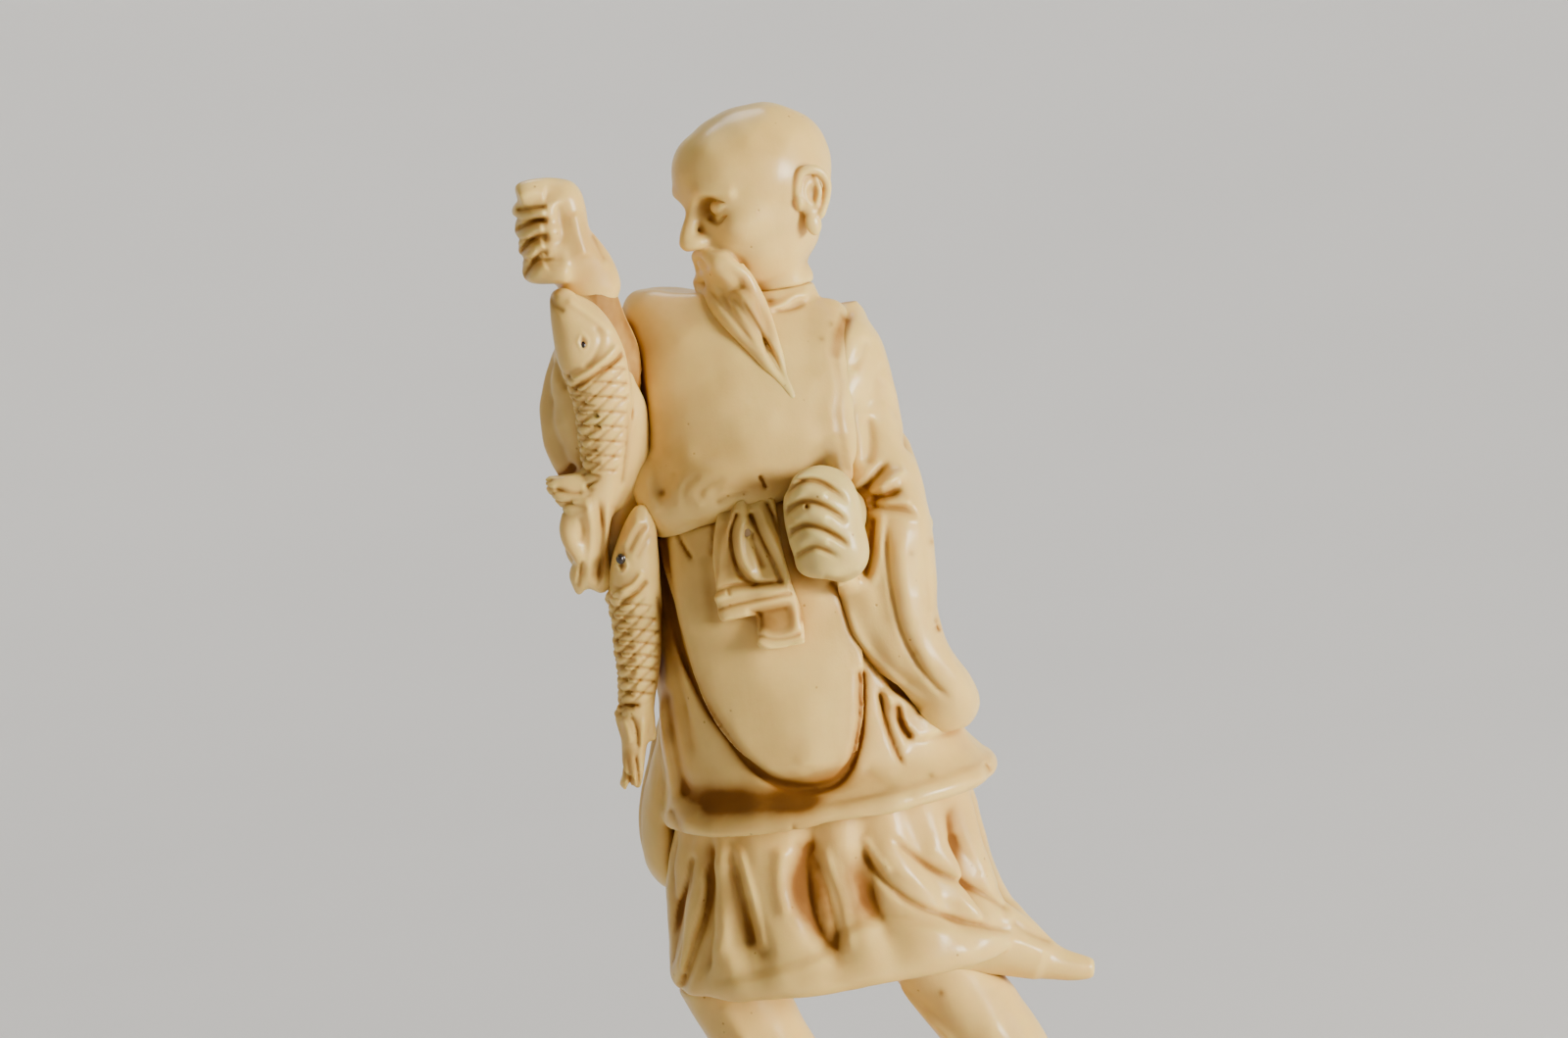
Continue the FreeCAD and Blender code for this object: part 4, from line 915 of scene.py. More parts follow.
def carve_leg(side):
    """One leg with its bare foot. side is -1 for the right one and 1 for the left one."""
    name = "right_leg" if side < 0 else "left_leg"
    clay = Clay([name], cells("body_cell") * 1.1)
    clay.soften(0.28)
    stance_middle, half_stance = 4.0, 13.0
    ankle = np.array([stance_middle + half_stance * side, 0.0, GROUND_TOP])
    turn = math.radians(-18.0 if side < 0 else 16.2)
    ahead = np.array([math.sin(turn), -math.cos(turn), 0])
    out = np.array([math.cos(turn), math.sin(turn), 0]) * side

    def foot(along, across, up):
        return ankle + ahead * along + out * across + np.array([0, 0, up])

    for across, radius, tip, up in TOES.values():
        clay.rod([foot(tip - 5.0, across * 0.9, up + 0.7), foot(tip - 2.4, across, up + 0.45),
                  foot(tip - radius, across, up)], [radius * 0.8, radius * 0.92, radius], blend=0.35)
    clay.egg(foot(0.2, 3.0, 3.9), (1.5, 1.3, 1.5), blend=1.0)
    clay.egg(foot(0.4, -3.0, 4.6), (1.6, 1.3, 1.6), blend=1.0)
    for across in FOOT_SINEWS:
        clay.rod([foot(3.5, across * 0.5, 4.9), foot(7.0, across * 0.8, 3.9), foot(10.5, across * 1.1, 2.9)],
                 [0.35, 0.4, 0.3], blend=0.6)
    for across, radius, tip, up in TOES.values():
        nail = [foot(tip - 0.55 * radius, across + half * radius, up + radius * 0.95)
                for half in (-0.35, 0.35)]
        clay.rod(nail, [0.28, 0.28], 0.15, cut=True)
    front = front_window()
    front.draw(RIGHT_LEG_FRONT if side < 0 else LEFT_LEG_FRONT)
    clay.press(front)
    finish(clay, name + "_carved", ivory("ivory"), "ivory", 21 + side)


# The outline of the front panel, and the seam between the left sleeve and the robe, in pixels
PANEL_EDGE = [(677, 535), (680, 575), (686, 618), (694, 655), (706, 690), (722, 722), (740, 748), (757, 772),
              (773, 787), (793, 799), (815, 804), (838, 803), (855, 796), (867, 781), (874, 760), (878, 735),
              (879, 705), (878, 680)]
SLEEVE_EDGE = [(846, 592), (856, 603), (863, 622), (869, 642), (877, 656), (891, 676), (906, 692), (921, 707),
               (936, 718), (944, 726)]


LOWER_ROBE_FRONT = {
    "right_edge_pleat": (GROOVE, [(708, 868), (704, 898), (695, 928), (683, 962)], 4.8, 0.65, 0.08),
    "right_long_pleat": (GROOVE, [(722, 876), (725, 905), (721, 935), (710, 968), (700, 998),
            (688, 1022)], 4.6, 0.8, 0.1),
    "right_edge_ridge": (RIB, [(714, 876), (714, 908), (706, 940), (695, 975), (686, 1005)], 7, 0.45),
    "right_broad_ridge": (RIB, [(738, 870), (743, 905), (740, 945), (728, 985)], 9, 0.35),
    "right_sharp_ridge": (RIB, [(751, 858), (760, 890), (768, 920), (775, 950), (780, 975)], 4.5, 0.6),
    "right_short_pleat": (GROOVE, [(748, 880), (757, 915), (763, 945), (768, 970)], 5.5, 0.45, 0.2),
    "right_pleat_foot": (PATCH, [(765, 920), (774, 935), (784, 960), (786, 975), (774, 978),
            (764, 955)], -0.4, 10, 0.5),
    "right_pleat_stain": (PATCH, [(735, 885), (750, 880), (764, 925), (768, 975), (744, 970),
            (731, 930)], -0.12, 16, 0.42),
    "right_tuck": (DOT, (745, 861), 5, -0.1, 0.4),
    "middle_ridge": (RIB, [(800, 862), (796, 885), (797, 912), (804, 940)], 9, 0.5),
    "deep_pleat_hollow": (PATCH, [(815, 862), (806, 893), (806, 920), (816, 942), (835, 962), (854, 982),
            (858, 968), (855, 942), (849, 915), (840, 888), (831, 862)], -0.3, 12, 1.0),
    "deep_pleat_stain": (PATCH, [(824, 858), (838, 880), (850, 915), (858, 950), (857, 972), (845, 965),
            (832, 940), (822, 905)], 0.0, 5, 1.0),
    "deep_pleat_edge": (GROOVE, [(822, 855), (833, 885), (846, 925),
            (856, 975)], 5.0, 0.2, 0.5, (0.15, 0.05)),
    "deep_pleat_ridge": (RIB, [(838, 858), (849, 888), (859, 918), (865, 948), (870, 975)], 5.0, 0.25),
    "middle_hollow": (PATCH, [(858, 876), (854, 898), (857, 920), (866, 940), (884, 938), (892, 920),
            (888, 898), (876, 880)], -0.6, 18, 0.85),
    "long_sweep": (GROOVE, [(878, 862), (888, 880), (903, 900), (925, 918), (950, 930), (980, 940),
            (1010, 947), (1034, 951)], 4.2, 0.6, 0.22),
    "upper_sweep": (GROOVE, [(905, 850), (930, 872), (955, 889), (985, 903), (1012, 918),
            (1034, 936)], 4.0, 0.5, 0.2),
    "long_sweep_ridge": (RIB, [(893, 858), (915, 884), (945, 905), (985, 922), (1022, 938)], 10, 0.4),
    "upper_sweep_ridge": (RIB, [(940, 862), (970, 880), (1000, 893), (1020, 908)], 11, 0.3),
    "sweep_start_ridge": (RIB, [(880, 852), (894, 874), (910, 892)], 4.0, 0.4),
    "left_tuck": (GROOVE, [(968, 850), (985, 872), (1000, 895)], 6, 0.25, 0.1),
    "hem_lap": (LAP, [(1075, 968), (1040, 957), (1000, 950), (955, 945), (905, 940), (872, 946), (850, 968),
            (815, 985), (765, 998), (705, 1012)], 0.55, 50, 7, 0.12, (0.03, 0.1)),
    "hem_tip_crease": (GROOVE, [(1030, 938), (1050, 952), (1078, 964)], 4, 0.2, 0.3),
    "hem_stain": (PATCH, [(690, 955), (730, 950), (790, 985), (850, 985), (850, 1000), (760, 1012),
            (700, 1015)], 0.0, 22, 0.16),
}


# The middle of the deep pleat, from its top down
DEEP_PLEAT = [(832, 874), (841, 905), (848, 935), (853, 958)]
# Where the foot and the top of each fold lie, and on the back how deep the fold is
LOWER_ROBE_BACK_FOLDS = ((-13, -10, 0.5), (-7, -5.5, 0.6), (0, 0.5, 0.5), (7, 6, 0.65), (13, 11, 0.5),
                         (18, 16, 0.5))
LOWER_ROBE_SIDE_FOLDS = ((-9, -7), (-3, -2.4), (3.5, 3), (9.5, 8))


def carve_lower_robe():
    clay = Clay(["lower_robe"], cells("body_cell"), room=2.5, reach=2.6)
    floor = [(np.array(touch(u - 14, v, 1.5)) + np.array(touch(u + 16, v, 1.5))) / 2 for u, v in DEEP_PLEAT]
    clay.rod(floor, [1.0, 1.7, 1.7, 0.9], 1.5)
    clay.soften(0.22)
    front = front_window()
    front.draw(LOWER_ROBE_FRONT)
    back = Drawing(BACK, -32, 45, 28, 72, 8)
    for foot, top, depth in LOWER_ROBE_BACK_FOLDS:
        back.groove([(top, 70), ((top * 2 + foot) / 3, 62), (foot, 52)], 0.9, depth, 0.35)
        back.rib([(top + 2.6, 70), ((top * 2 + foot) / 3 + 2.8, 62), (foot + 3.0, 52)], 1.3, 0.4)
    sides = []
    for view in (LEFT, RIGHT):
        flank = Drawing(view, -20, 45, 20, 72, 8)
        for foot, top in LOWER_ROBE_SIDE_FOLDS:
            flank.groove([(top, 69), ((top + foot) / 2 + 0.5, 60), (foot, 52)], 0.8, 0.45, 0.3)
            flank.rib([(top + 2.4, 69), ((top + foot) / 2 + 3.2, 60), (foot + 2.6, 52)], 1.2, 0.3)
        sides.append(flank)
    clay.press(front, back, *sides)
    finish(clay, "lower_robe_carved", ivory("ivory_robe"), "ivory_robe", 31)


# The lower edge of the blouse: its height at one place across, its slope, and the cosine of that slope
BLOUSE_EDGE, BLOUSE_EDGE_AT, BLOUSE_SLOPE, BLOUSE_COSINE = 105.5, -4.3, 0.189, 0.983


def above_blouse_edge(clay):
    """How far each cell lies above the slanting lower edge of the blouse."""
    area, x, y, z = clay.window((-60, -60, 0), (60, 60, 200))
    return area, (z - BLOUSE_EDGE - BLOUSE_SLOPE * (x - BLOUSE_EDGE_AT)) * BLOUSE_COSINE + 0 * y


def skirts_ring(turn, half_width, half_depth, level):
    """A place round the hem of the skirts, which is a little squarer than an oval and rises towards +X."""
    c, s = math.cos(2 * math.pi * turn), math.sin(2 * math.pi * turn)
    x = math.copysign(abs(c) ** 0.909, c) * half_width - 1.8
    return x, math.copysign(abs(s) ** 0.909, s) * half_depth - 1.05, level + 0.02 * x


SKIRTS_FRONT = {
    "panel_cut": (GROOVE, PANEL_EDGE, 4.2, 0.75, 0.85, (0.02, 0.02)),
    "sleeve_seam": (GROOVE, SLEEVE_EDGE, 4.4, 0.35, 0.75, (0.02, 0.05)),
    "right_fold": (GROOVE, [(679, 695), (684, 728), (690, 765), (697, 800), (702, 815)], 6.5, 0.5, 0.25),
    "right_ridge": (RIB, [(668, 700), (674, 740), (680, 780), (684, 812)], 5, 0.35),
    "right_edge_fold": (GROOVE, [(676, 655), (671, 700), (663, 750), (655, 800)], 4.5, 0.35, 0.3),
    "left_slit": (GROOVE, [(897, 698), (900, 722), (906, 745), (914, 765), (924, 784)], 2.6, 0.45, 0.6),
    "left_slit_ridge": (RIB, [(905, 700), (909, 722), (916, 745), (926, 768)], 4, 0.3),
    "left_tab": (PATCH, [(900, 705), (925, 712), (945, 727), (985, 736), (962, 747), (934, 753),
            (918, 735)], 0.7, 4),
    "left_tab_cut": (GROOVE, [(914, 714), (918, 733), (924, 746), (932, 754)], 3.8, 0.6, 0.95),
    "left_tab_hole": (DOT, (938, 726), 3.2, -0.35, 0.95),
    "left_tab_pore": (DOT, (951, 735), 3.0, -0.15, 0.35),
    "hem_pore": (DOT, (950, 791), 2.4, -0.12, 0.6),
    # The cove over the lip is darkened with stain, and with painted shade in the recess
    "cove_hollow": (PATCH, [(700, 812), (740, 802), (790, 808), (845, 812), (890, 802), (915, 800),
            (895, 818), (830, 832), (760, 838), (708, 832)], -0.35, 16, 0.6),
    "cove_stain_and_shade": (GROOVE, [(702, 821), (745, 821), (790, 820), (832, 816),
            (876, 805)], 9.5, 0.0, 1.4, (0.14, 0.4)),
    # Painted shadow on the skirts between the sash and the left hand
    "sash_side_shadow": (PATCH, [(795, 505), (812, 520), (815, 560), (832, 592), (812, 588),
            (800, 545)], 0.0, 9, 0.8),
    "lip_crest": (RIB, [(690, 838), (720, 850), (770, 855), (820, 851), (870, 841), (920, 826), (970, 809),
            (1010, 793)], 8, 0.3, (0.05, 0.02)),
    "lip_corner": (GROOVE, [(684, 824), (690, 836), (697, 852)], 3, 0.25, 0.3),
    "lip_chip": (GROOVE, [(808, 840), (812, 852)], 2, 0.2, 0.5),
    "panel_swell": (DOT, (824, 776), 18, 0.2),
    "panel_belly": (PATCH, [(760, 690), (800, 680), (850, 690), (868, 735), (850, 775), (815, 790),
            (780, 765)], 0.55, 60),
    "panel_crease": (GROOVE, [(806, 772), (818, 783), (836, 785)], 4, 0.06, 0.12),
    "waist_crease_right": (GROOVE, [(688, 530), (694, 551), (708, 574)], 2.4, 0.45, 0.7),
    "waist_crease_middle": (GROOVE, [(728, 518), (727, 545), (725, 575)], 2.0, 0.25, 0.45),
    # The cut below has a dark stain that is painted shadow in the gap behind the lower carp, beside the panel
    "carp_side_cut": (GROOVE, [(671, 535), (678, 585), (683, 640)], 6, 0.3, 0.9),
    "waist_stain": (PATCH, [(680, 532), (735, 522), (735, 600), (722, 640), (700, 620),
            (686, 580)], 0.0, 14, 0.22),
    "waist_streak": (GROOVE, [(718, 560), (722, 600), (728, 645)], 6, 0.1, 0.5),
    "lip_nick": (GROOVE, [(1005, 778), (1012, 788)], 2.5, 0.4, 0.4),
    "left_lip_hollow": (GROOVE, [(880, 780), (905, 800), (940, 812)], 7, 0.12, 0.15),
}


# Half width, half depth and level of the rolled lip and of the cove over it, and where round the hem the cove
# runs, as shares of a turn
LIP_RING = (18.5, 14.7, 70.6)
COVE_RING = (19.4, 14.9, 74.4)
COVE_STRETCHES = ((0.56, 0.97), (0.04, 0.36))
# Where each fold has its top, on the back its middle, and its foot, and on the back how deep the fold is
SKIRTS_BACK_FOLDS = ((-9, -10.5, -13, 0.5), (-4.5, -5.2, -7, 0.65), (0.5, 0.4, 0.5, 0.5), (5.5, 6.4, 8, 0.65),
                     (11, 12.4, 15, 0.5))
SKIRTS_LEFT_FOLDS = ((-8, -11), (-2, -3), (4, 5.5), (9, 11))
SKIRTS_RIGHT_FOLDS = ((-6, -8), (1, 0.5), (7, 9))


def carve_skirts():
    clay = Clay(["upper_robe"], cells("body_cell") * 1.12, room=2.0, reach=2.6)
    area, rise = above_blouse_edge(clay)
    tucked = clay.field[area] + 1.1 * ease(-0.5, 0.1, rise)
    clay.field[area] = np.maximum(tucked, rise - 1.6).astype(np.float32)
    clay.crop(2, None, 110)
    lip = [skirts_ring(turn, *LIP_RING) for turn in np.linspace(0, 1, 49)]
    clay.rod(lip, [1.1] * 49, 0.7, steps=2)
    for start, stop in COVE_STRETCHES:
        cove = [skirts_ring(turn, *COVE_RING) for turn in np.linspace(start, stop, 25)]
        clay.rod(cove, [0.9] + [1.75] * 23 + [0.9], 1.2, cut=True, steps=2)
    clay.soften(0.2)
    front = front_window()
    front.draw(SKIRTS_FRONT)
    back = Drawing(BACK, -25, 60, 32, 112, 8)
    for top, middle, foot, depth in SKIRTS_BACK_FOLDS:
        back.groove([(top, 107), (middle, 92), (foot, 76)], 0.9, depth, 0.35)
        back.rib([(top + 2.4, 107), (middle + 2.7, 92), (foot + 3.2, 76)], 1.5, 0.4)
    back.groove([(-20, 74.5), (0, 73.5), (22, 74.5)], 1.4, 0.5, 0.4)
    left = Drawing(LEFT, -20, 62, 20, 112, 8)
    for top, foot in SKIRTS_LEFT_FOLDS:
        left.groove([(top, 98), ((top + foot) / 2, 88), (foot, 76)], 0.9, 0.45, 0.35)
    right = Drawing(RIGHT, -20, 60, 20, 112, 8)
    for top, foot in SKIRTS_RIGHT_FOLDS:
        right.groove([(top, 100), ((top + foot) / 2, 88), (foot, 76)], 0.9, 0.45, 0.35)
    right.groove([(-2, 84), (-4, 74), (-3.5, 64)], 0.7, 0.3, 0.4)
    clay.press(front, back, left, right)
    finish(clay, "skirts_carved", ivory("ivory_robe"), "ivory_robe", 41)


CHEST_FRONT = {
    "corner_dimple": (DOT, (676, 503), 5.5, -0.3, 0.5),
    "corner_crease_outer": (GROOVE, [(704, 518), (697, 506), (702, 493), (716, 484)], 4.0, 0.12, 0.12),
    "corner_crease_inner": (GROOVE, [(712, 509), (722, 495), (742, 486)], 4.0, 0.12, 0.12),
    "hem_bulge_middle": (DOT, (722, 503), 6, 0.2),
    "hem_bulge_low": (DOT, (714, 515), 5, 0.15),
    "hem_bulge_left": (DOT, (739, 500), 7, 0.2),
    "hem_fold": (GROOVE, [(728, 515), (745, 506), (768, 500)], 3, 0.2, 0.3),
    "hem_crack": (GROOVE, [(774, 484), (778, 491), (782, 499)], 1.9, 0.45, 0.9),
    "corner_crease_side": (GROOVE, [(690, 516), (686, 500), (690, 478)], 5, 0.12, 0.1),
    "corner_ridge": (RIB, [(672, 526), (664, 508), (660, 480)], 6, 0.2),
    # The seam cut below has a dark stain that is painted shade in the gap between the upper carp and the chest
    "right_armhole": (GROOVE, [(625, 312), (640, 340), (650, 375), (656, 410), (658, 440),
            (655, 465)], 6, 0.4, 0.9, (0.02, 0.1)),
    "left_armhole": (GROOVE, [(866, 318), (860, 342), (852, 364), (857, 392), (854, 420), (860, 455),
            (869, 492)], 4.5, 0.15, 0.45, (0.05, 0.02)),
    "left_armhole_stain": (PATCH, [(858, 320), (869, 326), (863, 345), (857, 366), (847, 362),
            (850, 340)], 0.0, 5, 1.0),
    "collar_ridge": (RIB, [(776, 314), (796, 311), (812, 302), (828, 300)], 4.5, 0.55),
    "collar_crease": (GROOVE, [(788, 318), (806, 316), (822, 309)], 2.2, 0.3, 0.25),
    "collar_dimple": (DOT, (786, 309), 4, -0.15, 0.7),
    # Painted shadow of the beard over the chest at the right shoulder
    "beard_shadow_on_shoulder": (PATCH, [(640, 297), (700, 293), (712, 308), (735, 338), (700, 345),
            (655, 330)], 0.0, 18, 0.16),
    # Painted shade on the chest's right side, beside the upper carp
    "right_side_shade": (PATCH, [(628, 300), (652, 300), (672, 350), (680, 410), (676, 470), (655, 472),
            (655, 400), (645, 345)], 0.0, 20, 0.25),
    "belly_hollow": (GROOVE, [(700, 420), (730, 455), (775, 470), (830, 462)], 16, 0.16),
    "belly_swell": (RIB, [(690, 455), (720, 478), (760, 488), (810, 480)], 12, 0.22),
    "left_side_hollow": (GROOVE, [(845, 380), (835, 420), (842, 460)], 12, 0.15),
    "right_side_pore": (DOT, (680, 460), 7, -0.04, 0.2),
    "shoulder_pore_upper": (DOT, (848, 331), 1.8, -0.08, 0.7),
    "shoulder_pore_lower": (DOT, (838, 346), 1.6, -0.08, 0.6),
    "hem_stain": (PATCH, [(740, 500), (780, 486), (830, 475), (878, 480), (878, 500),
            (800, 505)], -0.05, 14, 0.45),
}
CHEST_BACK = {
    "upper_gather": (GROOVE, [(-8, 125), (-3, 118), (4, 115), (12, 117)], 1.1, 0.45, 0.25),
    "lower_gather": (GROOVE, [(-9, 118), (-2, 111), (6, 108), (14, 111)], 1.1, 0.5, 0.3),
    "gather_ridge": (RIB, [(-8, 121.5), (-2, 114.5), (5, 111.5), (13, 114)], 1.7, 0.5),
    "shoulder_gather": (GROOVE, [(-1, 127), (5, 123), (13, 123.5)], 1.0, 0.3, 0.2),
}


# The rounded right corner of the blouse, the bulge beside it, and the edge that meets the left sleeve
BLOUSE_CORNER = [(660, 488), (672, 508), (682, 517), (696, 510)]
BLOUSE_BULGE = (742, 494)
BLOUSE_ARMHOLE = [(850, 322), (847, 345), (846, 380), (848, 420), (853, 455), (860, 484)]


def carve_chest():
    clay = Clay(["upper_robe"], cells("body_cell") * 0.95, room=2.0, reach=2.6)
    area, rise = above_blouse_edge(clay)
    clay.field[area] = np.maximum(clay.field[area], -rise - 0.3).astype(np.float32)
    clay.crop(2, 99, None)
    clay.rod(touches(BLOUSE_CORNER, 1.6), [2.2, 2.6, 2.5, 1.9], 2.2)
    clay.egg(touch(*BLOUSE_BULGE, 2.2), (6.0, 2.5, 2.6), blend=2.5)
    clay.rod(touches(BLOUSE_ARMHOLE, 1.75), [1.3, 1.9, 2.1, 2.1, 1.9, 1.2], 2.4)
    clay.soften(0.2)
    front = front_window()
    front.draw(CHEST_FRONT)
    back = Drawing(BACK, -22, 100, 30, 135, 8)
    back.draw(CHEST_BACK)
    for place in range(-8, 19, 3):
        back.groove([(place, 103), (place + 0.4, 106), (place - 0.3, 109.5)], 0.6, 0.4, 0.35)
    right = Drawing(RIGHT, -15, 100, 15, 135, 8)
    right.groove([(-2, 125), (1, 116), (3, 107)], 1.0, 0.4, 0.3)
    clay.press(front, back, right)
    finish(clay, "chest_carved", ivory("ivory_robe"), "ivory_robe", 51)


LEFT_SLEEVE_FRONT = {
    "elbow_crease_upper": (GROOVE, [(876, 506), (890, 490), (909, 467)], 5.0, 0.9, 0.55, (0, 0.3)),
    "elbow_crease_middle": (GROOVE, [(876, 509), (902, 506), (924, 497)], 4.6, 0.8, 0.6, (0, 0.3)),
    "elbow_crease_lower": (GROOVE, [(878, 515), (905, 518), (925, 521),
            (940, 530)], 4.6, 0.6, 0.35, (0, 0.4)),
    "elbow_hollow": (DOT, (886, 510), 9, -0.4, 0.55),
    "elbow_ridge_upper": (RIB, [(893, 500), (910, 488), (926, 478)], 5.5, 0.55),
    "elbow_ridge_lower": (RIB, [(896, 512), (915, 511), (932, 512)], 4.5, 0.35),
    # The two marks below darken the sleeve's inner side by the armhole with stain and painted shade
    "upper_arm_fold": (GROOVE, [(884, 478), (888, 450), (885, 422)], 6, 0.4, 0.25),
    "upper_arm_stain_and_shade": (GROOVE, [(870, 488), (866, 445), (863, 400)], 8, 0.2, 0.5),
    "upper_arm_ridge": (RIB, [(880, 470), (879, 440), (878, 410)], 7, 0.15),
    "upper_arm_hollow": (GROOVE, [(900, 440), (896, 410), (902, 385)], 7, 0.2, 0.08),
    "forearm_cut": (GROOVE, [(893, 521), (890, 546), (887, 570), (880, 594)], 4.5, 0.5, 0.4),
    "forearm_ridge": (RIB, [(899, 517), (898, 545), (896, 572), (889, 600)], 5.0, 0.4),
    "hanging_fold": (GROOVE, [(904, 525), (905, 560), (909, 600), (918, 640), (933, 672), (953, 698),
            (974, 717)], 3.4, 0.4, 0.2),
    "hanging_hollow": (GROOVE, [(930, 530), (934, 570), (938, 610)], 8, 0.16, 0.04),
    "outer_fold": (GROOVE, [(941, 552), (946, 600), (949, 630)], 4.5, 0.2, 0.08),
    "hanging_ridge": (RIB, [(917, 545), (923, 600), (935, 650), (957, 690)], 8, 0.3),
    "inner_edge_cut": (GROOVE, [(u - 3, v + 2) for u, v in SLEEVE_EDGE], 3.4, 0.25, 0.85, (0.02, 0.05)),
    "inner_edge_ridge": (RIB, [(862, 612), (874, 646), (891, 670), (918, 697), (948, 718)], 4, 0.3),
    "notch": (DOT, (957, 633), 5, -0.6, 0.1),
    "notch_cut": (GROOVE, [(955, 638), (960, 645)], 2.2, 0.3, 0.6),
    "outer_pore": (DOT, (951, 553), 2, -0.1, 0.7),
    "middle_pore": (DOT, (930, 565), 1.8, -0.08, 0.6),
    "lower_pore": (DOT, (933, 667), 3, -0.08, 0.35),
    "tip_hollow": (GROOVE, [(962, 640), (985, 680), (992, 705)], 5, 0.1, 0.05),
    "armhole": (GROOVE, [(866, 322), (858, 345), (854, 375), (857, 410), (860, 450),
            (868, 488)], 4.2, 0.35, 0.32, (0, 0.1)),
    "armhole_stain": (PATCH, [(858, 320), (869, 326), (863, 345), (857, 366), (847, 362),
            (850, 340)], 0.0, 5, 1.0),
    "shoulder_hollow": (GROOVE, [(905, 368), (890, 398), (884, 425)], 7, 0.22, 0.08),
    "shoulder_crease": (GROOVE, [(885, 345), (878, 362), (868, 378)], 5, 0.2, 0.15),
}
LEFT_SLEEVE_SIDE = {
    "elbow_crease_middle": (GROOVE, [(1, 107), (-4, 104.5), (-9, 101)], 0.9, 0.6, 0.5),
    "elbow_crease_lower": (GROOVE, [(2, 103), (-3, 99.5), (-8, 97)], 0.9, 0.55, 0.45),
    "elbow_crease_upper": (GROOVE, [(1, 111), (-3, 110), (-7, 108)], 0.8, 0.4, 0.3),
    "elbow_ridge": (RIB, [(2, 105), (-3, 102), (-8, 99)], 1.1, 0.4),
    "hanging_fold": (GROOVE, [(-1, 98), (-3, 88), (-3.5, 80)], 1.0, 0.45, 0.3),
    "front_fold": (GROOVE, [(-7, 96), (-7.5, 88), (-6, 80)], 0.9, 0.35, 0.25),
    "shoulder_crease": (GROOVE, [(-5, 122), (-5.5, 116), (-4, 111)], 1.1, 0.25, 0.1),
}
LEFT_SLEEVE_BACK = {
    "upper_fold": (GROOVE, [(-10, 121), (-12, 112), (-11, 104)], 1.0, 0.4, 0.3),
    "lower_fold": (GROOVE, [(-13, 104), (-12, 95), (-13, 84)], 1.0, 0.4, 0.3),
}


# The head of the left sleeve, along the armhole
SLEEVE_HEAD = [(866, 322), (858, 345), (856, 380), (858, 420), (864, 455), (872, 486)]


def carve_left_sleeve():
    clay = Clay(["left_sleeve"], cells("body_cell"), reach=2.6)
    clay.rod(touches(SLEEVE_HEAD, 2.25), [1.9, 2.0, 2.1, 2.1, 2.0, 1.3], 2.0)
    for shift, size in ((5, 1.0), (14, 1.25), (24, 1.5)):
        edge = touches([(u + shift, v - 0.35 * shift) for u, v in SLEEVE_EDGE[:7]], 0.7)
        clay.rod(edge, [0.5] + [size] * 5 + [0.5], 1.0)
    clay.soften(0.3)
    front = front_window()
    front.draw(LEFT_SLEEVE_FRONT)
    left = Drawing(LEFT, -18, 70, 14, 128, 8)
    left.draw(LEFT_SLEEVE_SIDE)
    back = Drawing(BACK, -25, 70, 0, 128, 8)
    back.draw(LEFT_SLEEVE_BACK)
    clay.press(front, left, back)
    finish(clay, "left_sleeve_carved", ivory("ivory_robe"), "ivory_robe", 61)


RIGHT_SLEEVE_FRONT = {
    "cuff_cut": (GROOVE, [(560, 486), (575, 484), (589, 473)], 4, 0.6, 1.0),
    "side_crease": (GROOVE, [(566, 365), (572, 385), (580, 400)], 4, 0.25, 0.5),
    "side_stain": (PATCH, [(556, 380), (575, 385), (580, 420), (560, 440)], 0.0, 10, 0.18),
    "side_streak": (GROOVE, [(565, 400), (572, 430), (580, 462)], 5, 0.12, 0.1),
    # Painted shadow of the chest on the sleeve's side beside the upper carp
    "carp_side_shadow": (PATCH, [(586, 290), (628, 294), (650, 330), (660, 370), (662, 430), (648, 430),
            (640, 385), (630, 350), (610, 322)], -0.1, 7, 1.0),
}
RIGHT_SLEEVE_SIDE = {
    "front_fold": (GROOVE, [(0, 128), (3, 120), (2, 112)], 1.0, 0.45, 0.35),
    "back_fold": (GROOVE, [(5, 126), (7, 118), (6.5, 108)], 1.0, 0.45, 0.3),
    "lower_fold": (GROOVE, [(-1, 112), (3, 105), (6, 101)], 0.9, 0.45, 0.35),
    "upper_ridge": (RIB, [(3, 127), (5, 119), (4.5, 110)], 1.3, 0.35),
}
RIGHT_SLEEVE_BACK = {
    "upper_fold": (GROOVE, [(15, 122), (20, 116), (25, 113)], 1.0, 0.5, 0.35),
    "lower_fold": (GROOVE, [(14, 117), (19, 111), (25, 108)], 1.0, 0.5, 0.35),
    "ridge": (RIB, [(15, 120), (20, 113.5), (25, 110.5)], 1.3, 0.4),
}


def carve_right_sleeve():
    clay = Clay(["right_sleeve"], cells("body_cell"), reach=2.4)
    clay.soften(0.3)
    front = front_window()
    front.draw(RIGHT_SLEEVE_FRONT)
    right = Drawing(RIGHT, -10, 90, 20, 135, 8)
    right.draw(RIGHT_SLEEVE_SIDE)
    back = Drawing(BACK, 8, 90, 32, 135, 8)
    back.draw(RIGHT_SLEEVE_BACK)
    clay.press(front, right, back)
    finish(clay, "right_sleeve_carved", ivory("ivory_robe"), "ivory_robe", 71)


